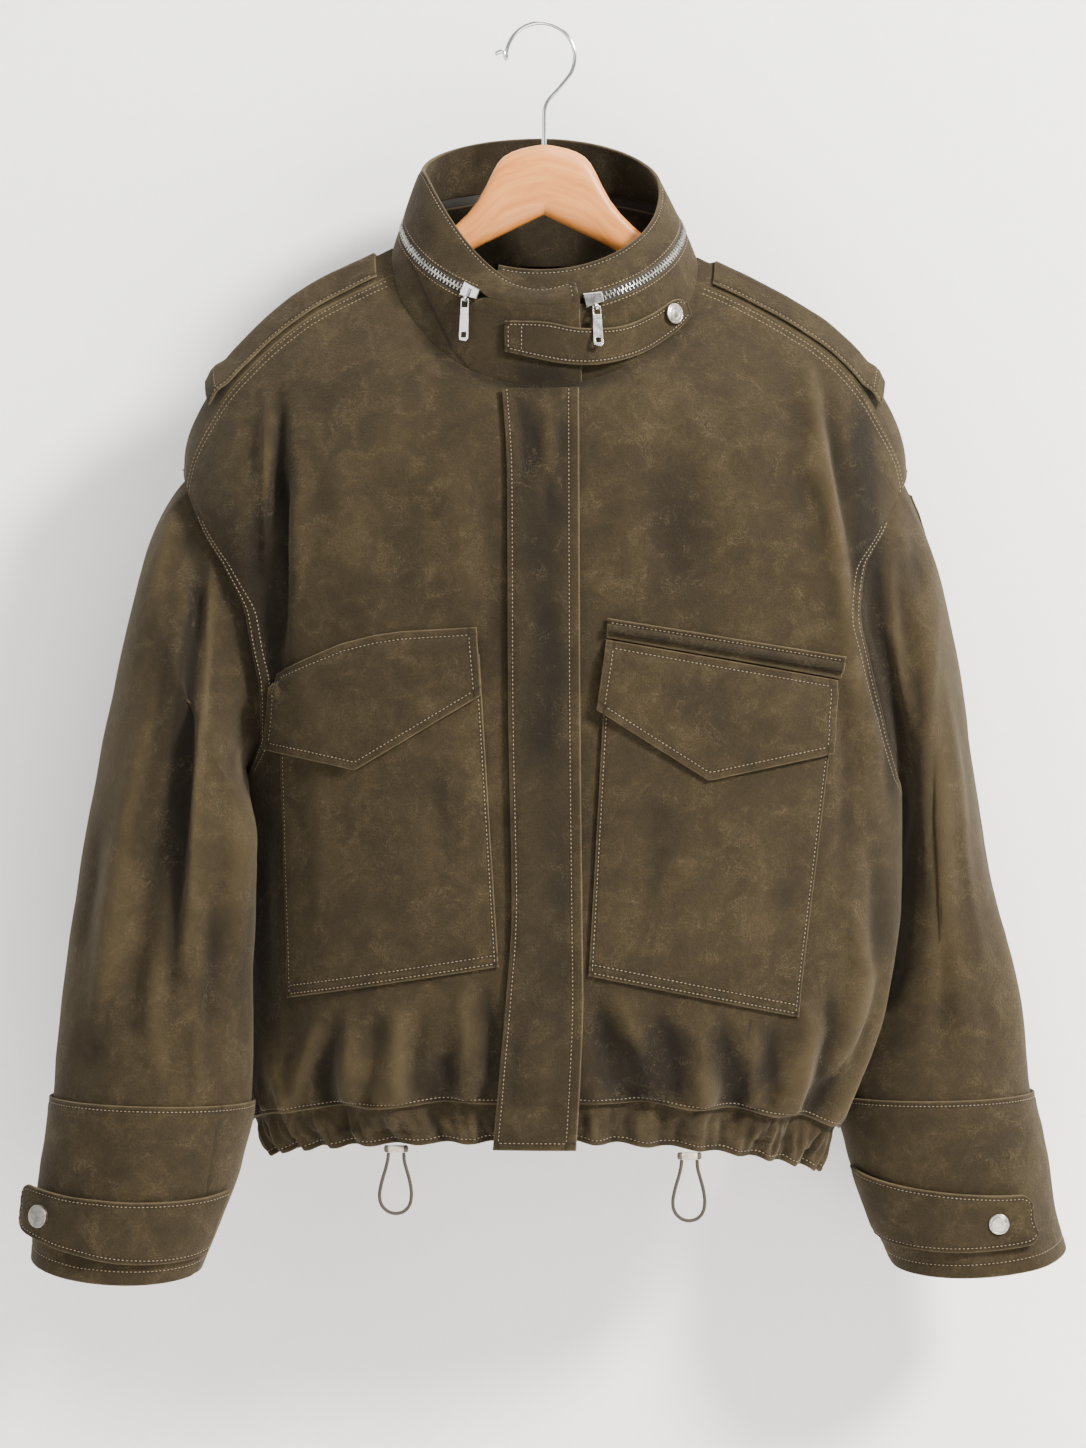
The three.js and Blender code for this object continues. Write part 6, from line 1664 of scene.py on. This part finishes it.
for side in ("right", "left"):
    name = "front_panel_" + side
    arm = "left" if side == "right" else "right"
    stitches("stitches_front_" + side,
             *[seamLine(name, arm, inset, part01=levelPart(0.02, 3.99)) for inset in (2.4, 7.2)],
             *[seamLine(name, arm, inset, part01=levelPart(4.12, 5.99)) for inset in (3.0, 8.6)],
             seamLine(name, "bottom", 3.2, {"left": 2, "right": 2}))
    name = "shoulder_patch_" + side + "_cloth"
    frontEdge = "right" if side == "right" else "left"
    stitches("stitches_patch_" + side, seamLine(name, frontEdge, 2.4, {"bottom": 3, "top": 3}),
             seamLine(name, "bottom", 12.0, {"left": 3, "right": 3}))
    name = "pocket_bag_" + side
    stitches("stitches_pocket_" + side, seamLine(name, "left", 2.6, {"bottom": 2.6}),
             seamLine(name, "right", 2.6, {"bottom": 2.6}),
             seamLine(name, "bottom", 2.6, {"left": 2.6, "right": 2.6}),
             seamLine(name, "bottom", 8.2, {"left": 2.6, "right": 2.6}))
    name = "pocket_flap_" + side
    stitches("stitches_flap_" + side, *[seamLine(name, edge, 5.6, {other: 5.6 for other in others}) for edge,
                                        others in (
        ("left", ("top", "bottom")), ("right", ("top", "bottom")), ("top", ("left", "right")),
        ("bottom", ("left", "right")))])
    stitches("stitches_band_" + side, seamLine("sleeve_band_" + side + "_cloth", "top", 3.6),
             seamLine("sleeve_band_" + side + "_cloth", "bottom", 10))
    name = "cuff_strap_" + side + "_cloth"
    freeEnd = "left" if side == "right" else "right"
    stitches("stitches_strap_" + side, seamLine(name, "top", 3.2, {freeEnd: 3.4}),
             seamLine(name, "bottom", 3.2, {freeEnd: 3.4}),
             seamLine(name, freeEnd, 3.4, {"top": 6, "bottom": 6}))
    stitches("stitches_hem_" + side, seamLine("hem_" + side, "bottom", 4.2, {"left": 2, "right": 2}))
stitches("stitches_back", *[seamLine("back_panel", edge, inset, part01=levelPart(4.12, 5.99))
                            for edge in ("left", "right")
                            for inset in (3.0, 8.6)],
                            seamLine("back_panel", "bottom", 3.2, {"left": 2, "right": 2}),
         seamLine("hem_back", "bottom", 4.2, {"left": 2, "right": 2}))
stitches("stitches_pocket_band", seamLine("pocket_band", "top", 3.0, {"left": 2, "right": 2}))
stitches("stitches_placket", seamLine("placket_strip", "left", 3.4, {"bottom": 5}),
         seamLine("placket_strip", "right", 7.2, {"bottom": 5}),
         seamLine("placket_strip", "bottom", 5.0, {"left": 3.4, "right": 7.2}))
stitches("stitches_collar", seamLine("collar_stand_cloth", "top", 2.6, {"left": 74, "right": 74}),
         seamLine("collar_fall_cloth", "bottom", 2.6, {"left": 70, "right": 70}),
         seamLine("collar_fall_cloth", "top", 3.4, {"left": 3, "right": 4.5}),
         seamLine("collar_fall_cloth", "right", 4.5, {"top": 3.4, "bottom": 2.4}), pitch=2.9)
stitches("stitches_collar_strap", *[seamLine("collar_strap_cloth", edge, inset, clear) for edge, inset,
                                    clear in (
    ("top", 2.7, {"left": 2.7, "right": 3}), ("bottom", 2.7, {"left": 2.7, "right": 3}),
    ("left", 2.7, {"top": 2.7, "bottom": 2.7}),
    ("left", 12, {"top": 2.7, "bottom": 2.7}))], pitch=2.7)
print("stitches made")

# Each sheet's cut as far as it shows: width and length in mm, the area it keeps of them, and what carries it.
cuts = {
    "front_panel_right": (330, 730, 0.57, "hanger_arms"), "front_panel_left": (335, 703, 0.61, "hanger_arms"),
    "back_panel": (629, 752, 0.68, "hanger_arms"),
    "hem_right": (282, 36, 0.9, "front_panel_right"), "hem_left": (275, 44, 0.82, "front_panel_left"),
    "hem_back": (544, 41, 0.77, "back_panel"),
    "pocket_bag_right": (157, 212, 0.95, "front_panel_right"),
    "pocket_bag_left": (162, 217, 0.95, "front_panel_left"),
    "pocket_flap_right": (178, 90, 0.69, "front_panel_right"),
    "pocket_flap_left": (180, 83, 0.74, "front_panel_left"),
    "pocket_band": (168, 28, 0.92, "front_panel_left"), "placket_strip": (57, 523, 0.89, "front_panel_left"),
    "shoulder_patch_right_cloth": (60, 153, 0.83, "front_panel_right"),
    "shoulder_patch_left_cloth": (60, 150, 0.83, "front_panel_left"),
    "sleeve_right_cloth": (572, 459, 0.53, "front_panel_right"),
    "sleeve_left_cloth": (557, 458, 0.46, "front_panel_left"),
    "sleeve_band_right_cloth": (399, 126, 0.85, "sleeve_right_cloth"),
    "sleeve_band_left_cloth": (402, 129, 0.85, "sleeve_left_cloth"),
    "cuff_strap_right_cloth": (173, 46, 0.83, "sleeve_band_right_cloth"),
    "cuff_strap_left_cloth": (151, 51, 0.77, "sleeve_band_left_cloth"),
    "collar_stand_cloth": (701, 60, 0.66, "back_panel"), "collar_fall_cloth": (639, 45, 0.63, "zip_tape"),
    "zip_tape": (493, 10, 0.79, "collar_stand_cloth"),
    "collar_strap_cloth": (153, 27, 0.81, "collar_stand_cloth"),
}
for name, (width, length, share, carrier) in cuts.items():
    width, length = width * mm, length * mm


# Floor, wall and light.
stage = {"wallY": 0.135, "floorZ": -1.75, "cornerRadius": 0.5, "colour": (0.90, 0.885, 0.865)}


def makeStage():
    y0, z0, r = stage["wallY"], stage["floorZ"], stage["cornerRadius"]
    profile = [(y0, 2.2), (y0, 1.0), (y0, 0.0), (y0, -0.7)]
    profile += [(y0 - r + r * math.cos(a), z0 + r - r * math.sin(a)) for a in np.linspace(0, math.pi / 2, 14)]
    profile += [(-1.5, z0), (-4.0, z0), (-8.0, z0)]
    xs = np.linspace(-4, 4, 9)
    vertices = [(x / mm, y / mm, z / mm) for y, z in profile for x in xs]
    faces = [(r1 * 9 + c, (r1 + 1) * 9 + c, (r1 + 1) * 9 + c + 1, r1 * 9 + c + 1)
             for r1 in range(len(profile) - 1) for c in range(8)]
    piece = meshPiece("backdrop", np.array(vertices), np.array(faces))
    material, tree, shader = newMaterial("backdrop")
    noise = node(tree, "ShaderNodeTexNoise")
    link(tree, node(tree, "ShaderNodeTexCoord").outputs["Object"], noise.inputs["Vector"])
    noise.inputs["Scale"].default_value = 90
    noise.inputs["Detail"].default_value = 3
    c = stage["colour"]
    link(tree, rampNode(tree, noise.outputs["Fac"], [(0.3, tuple(v * 0.985 for v in c)), (0.7, c)]),
         shader.inputs["Base Color"])
    shader.inputs["Roughness"].default_value = 0.95
    bump = node(tree, "ShaderNodeBump")
    bump.inputs["Strength"].default_value = 0.12
    bump.inputs["Distance"].default_value = 0.002
    link(tree, noise.outputs["Fac"], bump.inputs["Height"])
    link(tree, bump.outputs["Normal"], shader.inputs["Normal"])
    clear = node(tree, "ShaderNodeBsdfTransparent")
    blend = node(tree, "ShaderNodeMixShader")
    link(tree, node(tree, "ShaderNodeNewGeometry").outputs["Backfacing"], blend.inputs[0])
    link(tree, shader.outputs[0], blend.inputs[1])
    link(tree, clear.outputs[0], blend.inputs[2])
    link(tree, blend.outputs[0], tree.nodes["Material Output"].inputs["Surface"])
    piece.data.materials.append(material)


makeStage()

lights = {
    # name: place, aimed at, size, watts, colour
    "key": ((2.1, -2.0, 1.25), (0.0, 0.0, -0.45), 0.7, 350, (1.0, 0.985, 0.96)),
    "fill": ((-2.2, -2.6, -0.1), (0.0, 0.0, -0.5), 2.2, 38, (0.97, 0.985, 1.0)),
    "low": ((0.6, -2.2, -1.5), (0.0, 0.0, -0.7), 1.8, 42, (1.0, 0.98, 0.95)),
    "top": ((0.5, -1.1, 1.9), (0.0, 0.1, -0.5), 1.4, 55, (1.0, 0.99, 0.97)),
    "back": ((0.0, 2.6, 0.8), (0.0, 0.0, -0.4), 2.0, 170, (1.0, 0.99, 0.97)),
}
for name, (place, target, size, watts, colour) in lights.items():
    data = bpy.data.lights.new(name, "AREA")
    data.shape, data.size, data.energy, data.color = "DISK", size, watts, colour
    lamp = bpy.data.objects.new(name, data)
    lamp.location = place
    lamp.rotation_euler = (Vector(target) - Vector(place)).to_track_quat("-Z", "Y").to_euler()
    bpy.context.scene.collection.objects.link(lamp)

world = bpy.data.worlds.new("studio")
bpy.context.scene.world = world
world.use_nodes = True
background = world.node_tree.nodes["Background"]
background.inputs["Color"].default_value = (0.93, 0.95, 1.0, 1)
background.inputs["Strength"].default_value = 0.56
print("stage and lights made")
